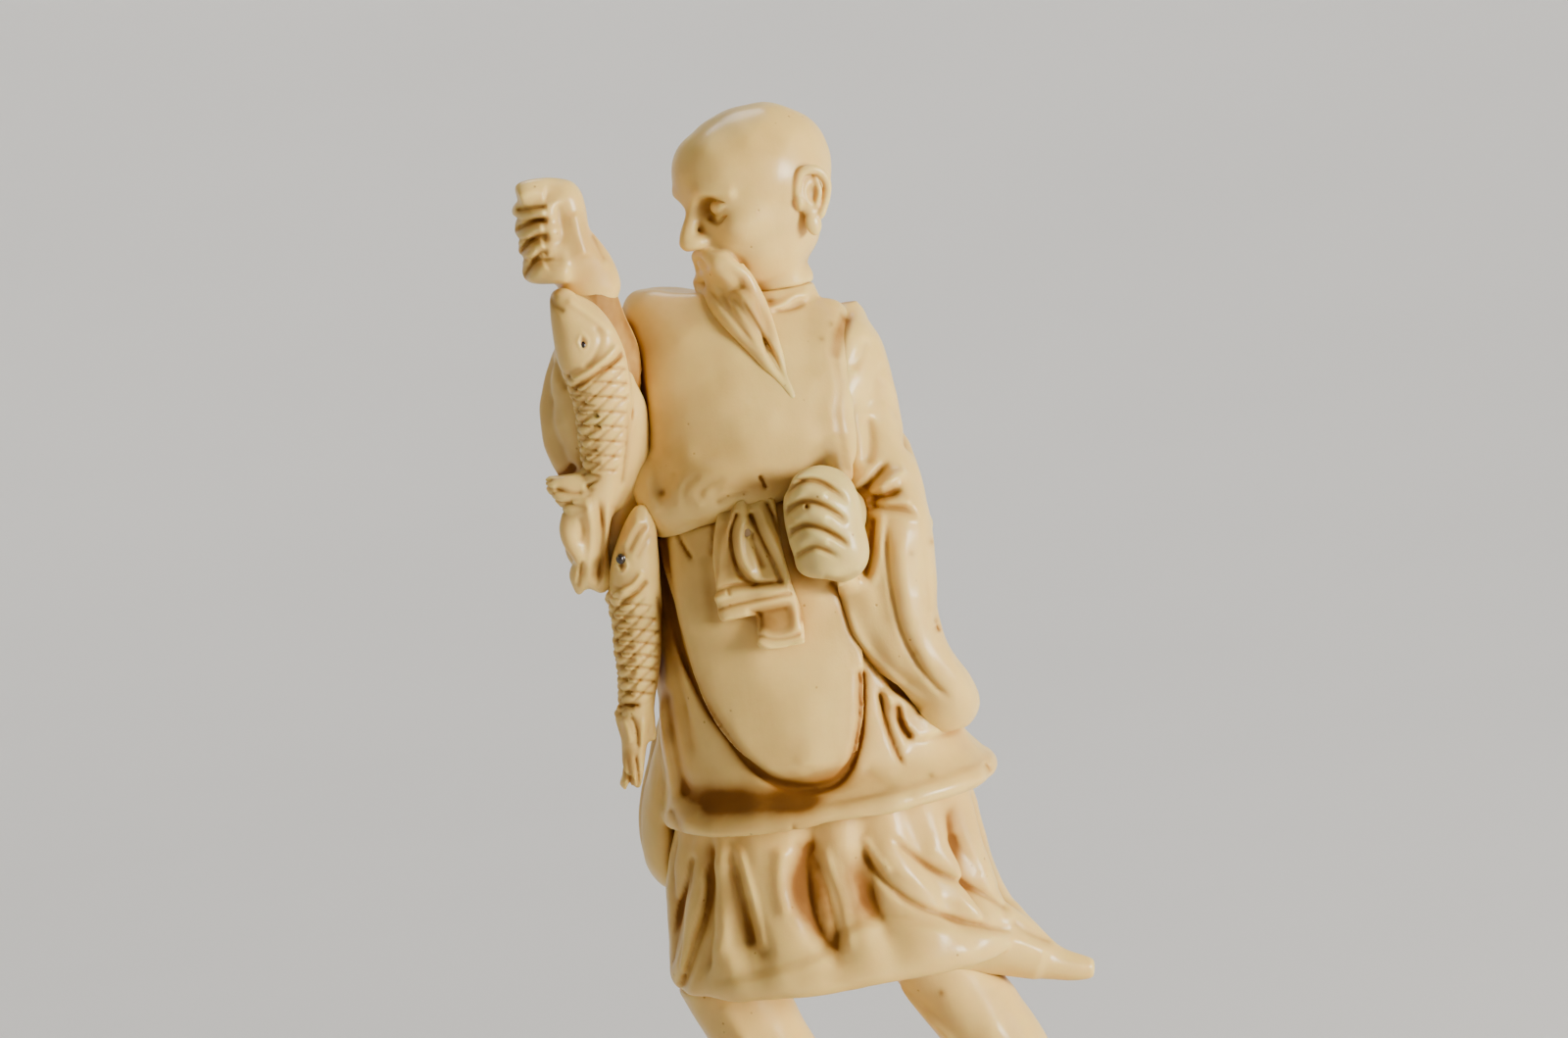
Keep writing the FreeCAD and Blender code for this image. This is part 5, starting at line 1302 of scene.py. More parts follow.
RIGHT_HAND_FRONT = {
    "thumb_ridge": (RIB, [(528, 203), (542, 198), (558, 199)], 7, 0.35),
    "thumb_cut": (GROOVE, [(530, 214), (545, 212), (559, 211)], 2.6, 0.5, 0.3, (0, 0.2)),
    "finger_cut_first": (GROOVE, [(522, 237), (535, 230), (547, 225), (560, 224)], 2.8, 0.6, 0.3, (0, 0.15)),
    "finger_cut_second": (GROOVE, [(528, 261), (539, 248), (550, 240),
            (562, 241)], 2.8, 0.55, 0.3, (0, 0.15)),
    "finger_cut_third": (GROOVE, [(535, 282), (546, 265), (553, 257), (560, 260)], 2.8, 0.4, 0.28, (0, 0.15)),
    "finger_first": (RIB, [(528, 228), (543, 219), (558, 217)], 5, 0.3),
    "finger_second": (RIB, [(526, 250), (540, 237), (556, 232)], 5.5, 0.35),
    "finger_third": (RIB, [(534, 272), (545, 254), (556, 249)], 5.5, 0.35),
    "finger_fourth": (RIB, [(540, 290), (550, 276), (558, 270)], 6, 0.25),
    "palm_hollow": (GROOVE, [(566, 205), (572, 225), (571, 250), (566, 272)], 8, 0.35, 0.12),
    "wrist_sinew": (RIB, [(585, 215), (592, 240), (598, 265)], 8, 0.3),
    "wrist_crease": (GROOVE, [(560, 296), (566, 308), (576, 318)], 2.8, 0.4, 0.5),
    "cuff_crease": (GROOVE, [(604, 236), (610, 252), (618, 268)], 3.5, 0.25, 0.25),
    # Painted shadow on the wrist's outer side, where the chest keeps off the light
    "wrist_shadow": (PATCH, [(580, 215), (600, 225), (625, 285), (600, 300), (585, 270)], 0.0, 12, 0.22),
}


FINGER_LEVELS = (141.0, 138.8, 136.6)
RIGHT_WRIST = [(588, 262), (596, 276), (604, 292)]


def carve_right_hand():
    clay = Clay(["right_hand"], cells("fine_cell"), room=2.5)
    clay.rod(touches(RIGHT_WRIST, 3.3), [2.8, 3.1, 3.1], 1.6)
    clay.soften(0.42)
    front = front_window()
    front.draw(RIGHT_HAND_FRONT)
    side = Drawing(RIGHT, -5, 125, 16, 147, 10)
    for up in FINGER_LEVELS:
        side.groove([(6.5, up), (10, up - 0.3), (14, up - 0.9)], 0.35, 0.35, 0.22)
    clay.press(front, side)
    finish(clay, "right_hand_carved", ivory("ivory"), "ivory", 81)


BACK_OF_HAND = (842, 528)
HEEL_OF_HAND = (858, 560)
LEFT_HAND_FRONT = {
    "finger_cut_first": (GROOVE, [(803, 500), (818, 491), (836, 492), (858, 506), (868, 516)], 3.2, 0.6, 0.35,
            (0, 0.45)),
    "finger_cut_second": (GROOVE, [(802, 522), (818, 512), (838, 515), (858, 528), (866, 538)], 3.2, 0.75,
            0.40, (0, 0.45)),
    "finger_cut_third": (GROOVE, [(804, 545), (820, 536), (840, 540), (860, 552), (866, 560)], 3.2, 0.8, 0.42,
            (0, 0.45)),
    "finger_cut_fourth": (GROOVE, [(814, 566), (830, 558), (846, 563), (860, 572)], 3.2, 0.5, 0.28,
            (0, 0.45)),
    "finger_second": (RIB, [(806, 511), (824, 501), (846, 506)], 5.5, 0.3),
    "finger_third": (RIB, [(806, 533), (824, 524), (848, 531)], 5.5, 0.3),
    "finger_fourth": (RIB, [(812, 556), (828, 548), (848, 554)], 5, 0.25),
    "peg_hole": (DOT, (823, 517), 1.9, -0.6, 1.0),
    "palm_stain": (PATCH, [(803, 525), (820, 530), (824, 556), (812, 562)], 0.0, 9, 0.3),
    "wrist_crease": (GROOVE, [(838, 588), (856, 592), (880, 584)], 3, 0.1, 0.45),
}


def carve_left_hand():
    clay = Clay(["left_hand"], cells("fine_cell"))
    clay.soften(0.85)
    clay.egg(touch(*BACK_OF_HAND, 3.4), (4.0, 3.3, 5.2), blend=1.2)
    clay.egg(touch(*HEEL_OF_HAND, 3.2), (2.9, 2.9, 3.6), blend=1.2)
    front = front_window()
    front.draw(LEFT_HAND_FRONT)
    clay.press(front)
    given = settings("ivory")
    finish(clay, "left_hand_carved", ivory("ivory_hand", tint=given.green), "ivory_hand", 91)


UPPER_CARP_FRONT = {
    "gill_ridge": (RIB, [(634, 348), (623, 361), (608, 374), (592, 384), (578, 392)], 3.6, 0.5),
    "gill_cut": (GROOVE, [(640, 354), (628, 368), (611, 380), (595, 390), (580, 398)], 2.4, 0.4, 0.4),
    "cheek_line": (GROOVE, [(606, 330), (613, 346), (606, 364), (594, 378)], 3.5, 0.2, 0.18),
    "eye_rim": (RIB, [(589, 349), (594, 340), (600, 349), (595, 358), (589, 349)], 1.6, 0.12, (0, 0)),
    "eye_socket": (PATCH, [(592, 349), (594, 343), (597, 349), (595, 354)], -0.1, 1.5, 0.6),
    "mouth": (GROOVE, [(562, 302), (566, 312), (577, 319)], 2.4, 0.2, 0.4),
    "brow_ridge": (RIB, [(576, 304), (592, 314), (611, 328), (628, 344)], 5, 0.3),
    "side_line": (GROOVE, [(645, 408), (641, 438), (637, 472), (633, 500)], 3.0, 0.25, 0.2),
    "back_ridge": (RIB, [(650, 420), (648, 450), (647, 480), (640, 505)], 6, 0.15),
    "side_fin_cut": (GROOVE, [(565, 497), (580, 503), (596, 502)], 2.4, 0.25, 0.5),
    "lower_fin_cut": (GROOVE, [(590, 526), (594, 540), (592, 556)], 3.0, 0.12, 0.3),
    "tail_ridge_right": (RIB, [(596, 505), (603, 535), (603, 568), (598, 598)], 4.5, 0.3),
    "tail_cut": (GROOVE, [(610, 505), (615, 540), (613, 575), (608, 603)], 2.4, 0.22, 0.45),
    "tail_ray": (GROOVE, [(594, 570), (592, 584), (589, 600)], 1.8, 0.2, 0.3),
    "tail_ridge_left": (RIB, [(621, 505), (619, 540), (617, 575), (615, 602)], 4, 0.3),
    "tail_stain": (PATCH, [(628, 518), (620, 548), (608, 575), (603, 588), (618, 592),
            (624, 560)], 0.0, 7, 0.8),
}


# Rods along the gill and the flank of the upper carp
CARP_GILL = [(578, 312), (590, 325), (605, 343), (612, 364), (618, 388)]
CARP_FLANK = [(640, 385), (645, 420), (643, 465), (635, 515)]
# Rods that keep to one depth: the place that gives the depth, how far behind it they lie, their places, radii
# and blend
UPPER_CARP_RODS = {
    "throat": ((598, 352), 1.7, [(574, 306), (582, 338), (590, 370), (597, 396)], [1.2, 1.75, 1.9, 1.5], 1.4),
    "side_fin": ((604, 505), 1.3, [(602, 508), (584, 503), (571, 498), (560, 490)], [1.9, 1.55, 1.05, 0.4],
                 1.6),
    "lower_fin": ((604, 505), 1.3, [(594, 520), (583, 534), (583, 551), (592, 568)], [1.3, 1.25, 1.1, 0.7],
                  1.6),
    "tail_edge": ((604, 575), 1.0, [(591, 588), (604, 592), (618, 589)], [1.0, 1.0, 1.0], 1.2),
}
UPPER_CARP_SCALES = [(578, 398), (600, 392), (618, 366), (634, 366), (641, 395), (640, 420), (634, 470),
                     (622, 484), (600, 474), (589, 456), (581, 425)]


def carve_upper_carp():
    clay = Clay(["upper_carp"], cells("fine_cell"), room=3.0)
    clay.rod(touches(CARP_GILL, 2.3), [1.1, 1.6, 2.0, 2.2, 1.8], 1.6)
    clay.rod(touches(CARP_FLANK, 2.6), [0.6, 1.7, 2.1, 1.4], 2.2)
    for mark, sink, places, radii, blend in UPPER_CARP_RODS.values():
        level = touch(*mark, sink)[1]
        clay.rod([PHOTO.place(u, v, level) for u, v in places], radii, blend)
    clay.soften(0.3)
    pitch = settings("carving").scale_pitch * MM / PHOTO.pitch
    front = front_window()
    front.hatch(UPPER_CARP_SCALES, 3, pitch * 1.12, 1.4, 0.24, 0.36, 3)
    front.hatch(UPPER_CARP_SCALES, -43, pitch * 0.86, 1.3, 0.20, 0.30, 5)
    front.draw(UPPER_CARP_FRONT)
    for view in (RIGHT, BACK):
        side = Drawing(view, -30, 96, 32, 134, 9)
        body = [(-30, 122.5), (32, 122.5), (32, 109), (-30, 109)]
        side.hatch(body, 38, 1.25, 0.17, 0.28, 0.3, 0, 1.0)
        side.hatch(body, -38, 1.25, 0.17, 0.28, 0.3, 0, 1.0)
        clay.press(side)
    clay.press(front)
    finish(clay, "upper_carp_carved", ivory("ivory_carp", strength=1.15), "ivory_carp", 101)


LOWER_CARP_FRONT = {
    "gill_ridge": (RIB, [(657, 583), (645, 598), (629, 609)], 3.4, 0.45),
    "gill_cut": (GROOVE, [(662, 590), (648, 605), (630, 617)], 2.4, 0.4, 0.4),
    "eye_rim": (RIB, [(628, 577), (634, 569), (640, 577), (634, 585), (628, 577)], 1.7, 0.22, (0, 0)),
    "eye_socket": (PATCH, [(631, 577), (634, 573), (637, 577), (634, 581)], -0.1, 1.5, 0.85),
    "mouth_line": (GROOVE, [(640, 566), (650, 546), (661, 534)], 2.4, 0.2, 0.35),
    "cheek_line": (GROOVE, [(648, 572), (657, 556), (665, 544)], 2.2, 0.12, 0.25),
    "brow_ridge": (RIB, [(634, 560), (644, 542), (654, 528)], 4, 0.25),
    # The cut below has a stain that is painted shadow where the carp meets the robe behind it
    "robe_side_cut": (GROOVE, [(670, 600), (676, 640), (676, 680), (670, 715)], 2.5, 0.3, 0.6),
    "tail_root_cut": (GROOVE, [(630, 722), (640, 719), (655, 720)], 2.2, 0.35, 0.6),
    "tail_ridge_right": (RIB, [(634, 732), (640, 745), (644, 760)], 3.5, 0.3),
    "tail_cut": (GROOVE, [(643, 728), (650, 745), (651, 765)], 2.0, 0.25, 0.3),
    "tail_ray_right": (GROOVE, [(640, 770), (643, 792), (646, 812)], 1.8, 0.25, 0.3),
    "tail_ray_left": (GROOVE, [(648, 768), (651, 790), (651, 808)], 1.6, 0.3, 0.4),
    "tail_ridge_left": (RIB, [(656, 730), (655, 760), (653, 795)], 3.5, 0.3),
    "tail_stain": (PATCH, [(636, 768), (646, 766), (655, 800), (648, 816), (640, 812)], 0.0, 5, 0.35),
}


LOWER_CARP_SCALES = [(626, 622), (640, 606), (660, 612), (672, 640), (672, 690), (662, 715), (640, 712),
                     (627, 690), (624, 650)]
LOWER_CARP_SIDE = {
    "gill_ridge": (RIB, [(3, 98.5), (6, 97), (10, 97.5), (13, 99)], 0.5, 0.35),
    "tail_ridge": (RIB, [(4, 80), (5, 77), (7, 75)], 0.5, 0.3),
    "tail_cut": (GROOVE, [(5, 81), (6.4, 78), (8.4, 75)], 0.3, 0.35, 0.5),
}


def carve_lower_carp():
    clay = Clay(["lower_carp"], cells("fine_cell"))
    clay.soften(0.3)
    pitch = settings("carving").scale_pitch * MM / PHOTO.pitch
    front = front_window()
    front.hatch(LOWER_CARP_SCALES, 5, pitch * 0.95, 1.4, 0.28, 0.34, 2)
    front.hatch(LOWER_CARP_SCALES, -44, pitch * 0.85, 1.3, 0.26, 0.28, 4)
    front.draw(LOWER_CARP_FRONT)
    for view in (RIGHT, BACK):
        side = Drawing(view, -30, 72, 32, 110, 9)
        body = [(-30, 97.5), (32, 97.5), (32, 85), (-30, 85)]
        side.hatch(body, 38, 1.2, 0.17, 0.26, 0.3, 0, 1.0)
        side.hatch(body, -38, 1.2, 0.17, 0.26, 0.3, 0, 1.0)
        if view is RIGHT:
            side.draw(LOWER_CARP_SIDE)
        clay.press(side)
    clay.press(front)
    finish(clay, "lower_carp_carved", ivory("ivory_carp", strength=1.15), "ivory_carp", 111)


SASH_FRONT = {
    "loop_cut_right": (GROOVE, [(753, 520), (746, 545), (749, 572), (758, 590),
            (772, 599)], 2.4, 0.5, 0.7, (0.05, 0.1)),
    "loop_ridge_right": (RIB, [(760, 524), (755, 548), (759, 572), (772, 592)], 3.5, 0.35),
    "loop_cut_left": (GROOVE, [(764, 522), (776, 548), (789, 575), (798, 598)], 2.6, 0.5, 0.65, (0.05, 0.1)),
    "loop_hollow": (GROOVE, [(766, 540), (771, 560), (780, 582)], 4, 0.3, 0.2),
    "loop_ridge_left": (RIB, [(772, 510), (784, 540), (797, 568), (806, 600)], 3.2, 0.35),
    "outer_edge_cut": (GROOVE, [(780, 508), (796, 542), (807, 570), (815, 600),
            (820, 640)], 2.4, 0.45, 0.75, (0.05, 0.05)),
    "short_end_hem": (RIB, [(728, 612), (745, 606), (765, 603), (790, 602),
            (806, 600)], 4.2, 0.4, (0.02, 0.02)),
    "short_end_hem_cut": (GROOVE, [(729, 603), (750, 597), (775, 596),
            (800, 593)], 2.2, 0.4, 0.6, (0.02, 0.02)),
    "short_end_foot": (GROOVE, [(731, 622), (758, 615), (785, 610),
            (808, 605)], 2.0, 0.28, 0.35, (0.02, 0.02)),
    "short_end_fold": (GROOVE, [(736, 530), (731, 560), (730, 592)], 3.0, 0.25, 0.3),
    "short_end_nick": (GROOVE, [(742, 600), (744, 608)], 1.6, 0.25, 0.3),
    # Painted shadow in the dark gap between the loop and the short end
    "short_end_shadow": (PATCH, [(735, 520), (752, 520), (750, 590), (732, 598), (730, 560)], 0.0, 9, 0.6),
    "long_end_hollow": (PATCH, [(766, 623), (785, 618), (805, 617), (808, 640), (792, 648),
            (771, 640)], -0.5, 6, 0.7),
    "long_end_hem": (RIB, [(770, 655), (786, 661), (806, 660), (822, 655)], 3.4, 0.35, (0.02, 0.02)),
    "long_end_hem_cut": (GROOVE, [(770, 647), (788, 652), (806, 650), (820, 645)], 1.8, 0.25, 0.5),
}


def carve_sash():
    clay = Clay(["sash"], cells("fine_cell"))
    clay.soften(0.28)
    front = front_window()
    front.draw(SASH_FRONT)
    clay.press(front)
    finish(clay, "sash_carved", ivory("ivory"), "ivory", 121)


def head_frame():
    """Under the middle of the jaw, then the ways forward, left and up of the head."""
    turn, nod = math.radians(60), math.radians(6)
    level = np.array([-math.sin(turn), -math.cos(turn), 0])
    left = np.array([math.cos(turn), -math.sin(turn), 0])
    up = np.array([0, 0, 1.0])
    return np.array([2.08, -0.38, 129.7]), level * math.cos(nod) - up * math.sin(nod), left, \
        up * math.cos(nod) + level * math.sin(nod)


# The head has its own frame: a place in it is how far ahead, to the left and up it lies from under the jaw.
HEAD_FOOT = (2.08, -0.38, 129.7)
HEAD_TURN, HEAD_NOD = math.radians(60), math.radians(6)
JAW_LEVEL = 0.6
# The forms of the head. A row gives the kind, the places, the half sizes or radii, the blend, and True where
# the form is cut out.
LUMP, ROLL = Clay.egg, Clay.rod
SKULL = {
    "crown": (LUMP, (0.9, 0, 11.7), (9.35, 7.25, 8.15), 1.2),
    "jaw": (LUMP, (1.9, 0, 6.1), (7.5, 6.0, 6.2), 1.6),
    "forehead": (LUMP, (6.6, 0, 13.6), (3.4, 4.6, 3.6), 2.2),
    "nose": (ROLL, [(9.0, 0, 11.4), (10.1, 0, 9.2), (11.05, 0, 7.6), (11.35, 0, 6.7)],
             [0.72, 0.72, 0.85, 0.92], 0.7),
}
FACE_SIDES = {
    "brow": (ROLL, [(9.35, 0.8, 11.3), (9.3, 2.6, 12.0), (7.6, 5.0, 11.3)], [0.76, 0.92, 0.5], 0.8),
    "eye_socket": (LUMP, (9.8, 3.0, 9.9), (1.75, 1.95, 1.4), 0.7, True),
    "cheek": (LUMP, (5.9, 3.9, 7.6), (2.5, 1.9, 1.8), 1.6),
    "eye": (LUMP, (7.7, 2.95, 9.85), (1.35, 1.6, 1.1), 0.15),
    "lid_line": (ROLL, [(8.75, 1.5, 9.65), (9.2, 2.3, 9.25), (9.0, 3.4, 9.25), (8.1, 4.45, 9.7)],
                 [0.10, 0.15, 0.15, 0.08], 0.08, True),
    "upper_lid_fold": (ROLL, [(8.7, 1.6, 10.35), (8.85, 2.8, 10.8), (8.0, 4.4, 10.4)], [0.1, 0.14, 0.08], 0.2,
                       True),
    "lower_lid_fold": (ROLL, [(8.75, 1.7, 8.75), (8.7, 2.9, 8.25), (7.9, 4.1, 8.7)], [0.14, 0.2, 0.1], 0.5,
                       True),
    "nostril_wing": (LUMP, (10.2, 0.72, 6.5), (1.15, 0.78, 0.72), 0.7),
    "nostril": (LUMP, (10.75, 0.52, 5.72), (0.32, 0.24, 0.24), 0.1, True),
    "cheek_line": (ROLL, [(10.1, 1.9, 6.6), (9.5, 2.7, 5.3), (8.6, 3.5, 4.1)], [0.16, 0.24, 0.12], 0.7, True),
    "ear": (LUMP, (-1.5, 6.75, 8.8), (1.75, 0.85, 2.75), 0.35),
    "ear_rim": (ROLL, [(0.1, 6.7, 7.6), (0.2, 7.15, 9.8), (-0.7, 7.6, 11.4), (-2.4, 7.85, 11.2),
                       (-3.4, 7.85, 9.6), (-3.0, 7.6, 7.8), (-2.0, 7.3, 6.3)],
                [0.38, 0.42, 0.46, 0.46, 0.44, 0.4, 0.4], 0.22),
    "ear_bowl": (LUMP, (-1.4, 7.9, 8.7), (0.95, 0.75, 1.35), 0.2, True),
    "ear_ridge": (ROLL, [(-2.2, 7.5, 10.3), (-2.3, 7.65, 8.8), (-1.6, 7.5, 7.4)], [0.22, 0.26, 0.2], 0.2),
    "ear_lobe": (LUMP, (-0.9, 7.05, 5.5), (0.85, 0.5, 1.35), 0.3),
    "ear_flap": (LUMP, (0.25, 7.1, 8.3), (0.4, 0.4, 0.6), 0.25),
}
MOUTH = {
    "upper_lip": (LUMP, (9.35, 0, 4.9), (1.0, 1.9, 0.9), 0.6),
    "lower_lip": (LUMP, (9.45, 0, 3.75), (0.85, 1.6, 0.55), 0.35),
    "lip_line": (ROLL, [(9.5, -1.9, 4.25), (10.25, -0.8, 4.2), (10.32, 0, 4.28), (10.25, 0.8, 4.2),
                        (9.5, 1.9, 4.25)], [0.08, 0.13, 0.13, 0.13, 0.08], 0.1, True),
    "chin_line": (ROLL, [(9.3, -1.2, 2.95), (9.6, 0, 2.85), (9.3, 1.2, 2.95)], [0.2, 0.25, 0.2], 0.4, True),
    "chin": (LUMP, (8.0, 0, 1.3), (1.9, 2.4, 1.7), 1.2),
}
BEARD_SIDES = {
    "moustache": (ROLL, [(10.1, 0.3, 5.1), (9.95, 1.4, 4.8), (9.2, 2.5, 3.5), (8.3, 3.0, 1.6),
                         (7.5, 2.9, -0.8), (6.4, 2.3, -3.6)], [0.22, 0.5, 0.62, 0.6, 0.5, 0.3], 0.35),
    "jaw_beard": (ROLL, [(7.4, 3.9, 3.0), (7.2, 3.6, 0.6), (6.3, 3.0, -2.4)], [0.3, 0.55, 0.3], 0.6),
    "beard_root": (LUMP, (8.5, 2.5, 2.5), (1.2, 1.3, 1.7), 0.9),
}
BEARD_MIDDLE = {
    "chin_beard": (ROLL, [(8.5, 0, 2.2), (9.2, 0, 0.4), (8.2, 0, -3.0)], [0.9, 1.3, 0.9], 0.6),
}
# The two hanging strands of the beard from their roots down, and the hollow between the roots
RIGHT_STRAND = [(716, 288), (738, 318), (764, 348), (788, 378), (808, 404)]
LEFT_STRAND = [(762, 284), (776, 314), (787, 344), (798, 376), (809, 405)]
BEARD_HOLLOW = (747, 295)
BEARD_FRONT = {
    "strand_parting": (GROOVE, [(744, 296), (755, 312), (769, 332), (784, 356),
            (800, 386)], 4.6, 0.4, 0.22, (0.2, 0.25)),
    "strand_line_left": (GROOVE, [(756, 304), (768, 324), (780, 345), (793, 370)], 1.8, 0.15, 0.45),
    "strand_line_right": (GROOVE, [(716, 284), (730, 304), (748, 326), (772, 354)], 2.2, 0.15, 0.3),
    "under_beard_stain": (PATCH, [(758, 284), (772, 300), (790, 340), (783, 352), (766, 322)], 0.0, 5, 0.4),
}


def head_frame():
    """The foot of the head's frame, and its ways forward, left and up."""
    level = np.array([-math.sin(HEAD_TURN), -math.cos(HEAD_TURN), 0])
    left = np.array([math.cos(HEAD_TURN), -math.sin(HEAD_TURN), 0])
    up = np.array([0, 0, 1.0])
    forward = level * math.cos(HEAD_NOD) - up * math.sin(HEAD_NOD)
    return np.array(HEAD_FOOT), (forward, left, up * math.cos(HEAD_NOD) + level * math.sin(HEAD_NOD))


def on_head(place, side=1):
    """Where a place of the head's frame lies on the figure. With a side of -1 it is mirrored to the right."""
    foot, (forward, left, up) = head_frame()
    return foot + forward * place[0] + left * (place[1] * side) + up * place[2]


def build(clay, forms, sides=(1,)):
    """Builds a table of the head's forms, once for each side."""
    _, ways = head_frame()
    for side in sides:
        for form, places, sizes, *rest in forms.values():
            if form is LUMP:
                clay.egg(on_head(places, side), sizes, ways, *rest)
            else:
                clay.rod([on_head(place, side) for place in places], sizes, *rest)


def carve_head():
    clay = Clay(["head"], cells("fine_cell"), room=2.5)
    clay.soften(0.25)
    foot, (_, _, up) = head_frame()
    area, x, y, z = clay.window((-60, -60, 100), (60, 60, 170))
    rise = (x - foot[0]) * up[0] + (y - foot[1]) * up[1] + (z - foot[2]) * up[2]
    clay.field[area] = -joined(-clay.field[area], (JAW_LEVEL - rise).astype(np.float32), 2.0)
    build(clay, SKULL)
    build(clay, FACE_SIDES, (-1, 1))
    build(clay, MOUTH)
    build(clay, BEARD_SIDES, (-1, 1))
    build(clay, BEARD_MIDDLE)
    right, left = touches(RIGHT_STRAND, 0.6), touches(LEFT_STRAND, 0.6)
    web = [(np.array(p) + np.array(q)) / 2 + np.array([0, 0.55, 0]) for p, q in zip(right[:4], left[:4])]
    clay.rod([on_head((9.0, 2.3, 3.2))] + web, [1.3, 1.7, 1.45, 1.1, 0.6], 0.8)
    clay.egg(PHOTO.place(*BEARD_HOLLOW, right[0][1] + 0.6), (1.7, 1.5, 1.9), blend=0.8)
    roots = [on_head((9.95, 1.4, 4.6)), on_head((9.6, 2.3, 3.4))]
    clay.rod(roots + right, [0.5, 0.75, 1.1, 1.15, 1.0, 0.75, 0.32], 0.5)
    roots = [on_head((9.8, 1.9, 4.6)), on_head((9.1, 2.9, 4.2)), on_head((8.3, 3.7, 2.9))]
    clay.rod(roots + left, [0.45, 0.6, 0.75, 0.95, 1.0, 0.9, 0.7, 0.32], 0.5)
    front = front_window()
    front.draw(BEARD_FRONT)
    clay.press(front)
    finish(clay, "head_carved", ivory("ivory_head", strength=0.9), "ivory_head", 131)


EYE_CELL = 0.07
BETWEEN_CARP = 114.0
DOME_DEPTH = 0.12


def carve_eyes():
    """Dark domes in the sockets of the two carp."""
    points, _ = node_shape(["carp_eyes"])
    clay = Clay(["carp_eyes"], EYE_CELL, room=0.8, reach=0.6)
    for high in (True, False):
        own = points[(points[:, 2] > BETWEEN_CARP) == high]
        middle = (own.min(0) + own.max(0)) / 2
        clay.egg((middle[0], own[:, 1].min() + DOME_DEPTH, middle[2]), (0.42, 0.42, 0.62), blend=0.05)
    inlay = plain_material("dark_inlay", (0.018, 0.011, 0.008, 1), (0.03, 0.017, 0.01, 1), scale=900,
                           roughness=0.22, relief=0.00001, coat=0.6)
    clay.skin("carp_eyes_carved", inlay, "dark_inlay")


def finish_dowels():
    """Gives the dowels and pins their wood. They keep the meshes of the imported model."""
    wood = plain_material("dowel_wood", (0.52, 0.35, 0.18, 1), (0.40, 0.25, 0.12, 1), scale=700,
                          roughness=0.6, relief=0.00004)
    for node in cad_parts.values():
        for place, slot in enumerate(node.data.materials):
            if slot and slot.name.startswith("dowel_wood") and slot is not wood:
                node.data.materials[place] = wood


# Stage

FIGURE_MIDDLE = (0, 0, 0.085)
# Each lamp's place, its breadth, what it is aimed at, its colour and the setting that holds its power
LAMPS = {
    "key_light": ((0.72, -0.42, 0.14), 0.34, FIGURE_MIDDLE, (1.0, 0.985, 0.95), "key"),
    "fill_light": ((-0.62, -0.62, 0.30), 0.70, FIGURE_MIDDLE, (1.0, 0.96, 0.90), "fill"),
    "top_light": ((-0.05, 0.10, 0.85), 0.80, FIGURE_MIDDLE, (1.0, 1.0, 1.0), "top"),
    "paper_light": ((0.0, 0.95, 1.65), 0.90, (0.0, 1.05, 0.0), (1.0, 1.0, 1.0), "back"),
}
ROOM_TONE, ROOM_STRENGTH = (1.0, 0.965, 0.91, 1), 0.045
FLOOR_RADIUS, SWEEP_RADIUS, SWEEP_STEPS = 0.4, 1.7, 18


def studio_floor(material):
    """A round sheet that lies flat under the figure and sweeps up far from it, all the way round."""
    profile = [(0.0, 0.0), (FLOOR_RADIUS / 2, 0.0), (FLOOR_RADIUS, 0.0)]
    for n in range(1, SWEEP_STEPS + 1):
        turn = math.radians(90 * n / SWEEP_STEPS)
        profile.append((FLOOR_RADIUS + SWEEP_RADIUS * math.sin(turn),
                        SWEEP_RADIUS - SWEEP_RADIUS * math.cos(turn)))
    around = 96
    points = [(0.0, 0.0, 0.0)]
    for radius, height in profile[1:]:
        turns = [2 * math.pi * n / around for n in range(around)]
        points += [(radius * math.cos(turn), radius * math.sin(turn), height) for turn in turns]
    faces = [(0, 1 + n, 1 + (n + 1) % around) for n in range(around)]
    for row in range(len(profile) - 2):
        a = 1 + row * around
        for n in range(around):
            after = (n + 1) % around
            faces.append((a + n, a + around + n, a + around + after, a + after))
    mesh = bpy.data.meshes.new("studio_floor")
    mesh.from_pydata(points, [], faces)
    mesh.shade_smooth()
    mesh.materials.append(material)
    floor = bpy.data.objects.new("studio_floor", mesh)
    bpy.context.scene.collection.objects.link(floor)
    return floor


def soft_light(name, place, size, target, colour, power):
    """A round lamp that the camera doesn't see."""
    lamp = bpy.data.lights.new(name, "AREA")
    lamp.shape = "DISK"
    lamp.size = size
    lamp.energy = power
    lamp.color = colour
    light = bpy.data.objects.new(name, lamp)
    light.location = place
    light.rotation_euler = (Vector(place) - Vector(target)).to_track_quat("Z", "Y").to_euler()
    light.visible_camera = False
    bpy.context.scene.collection.objects.link(light)


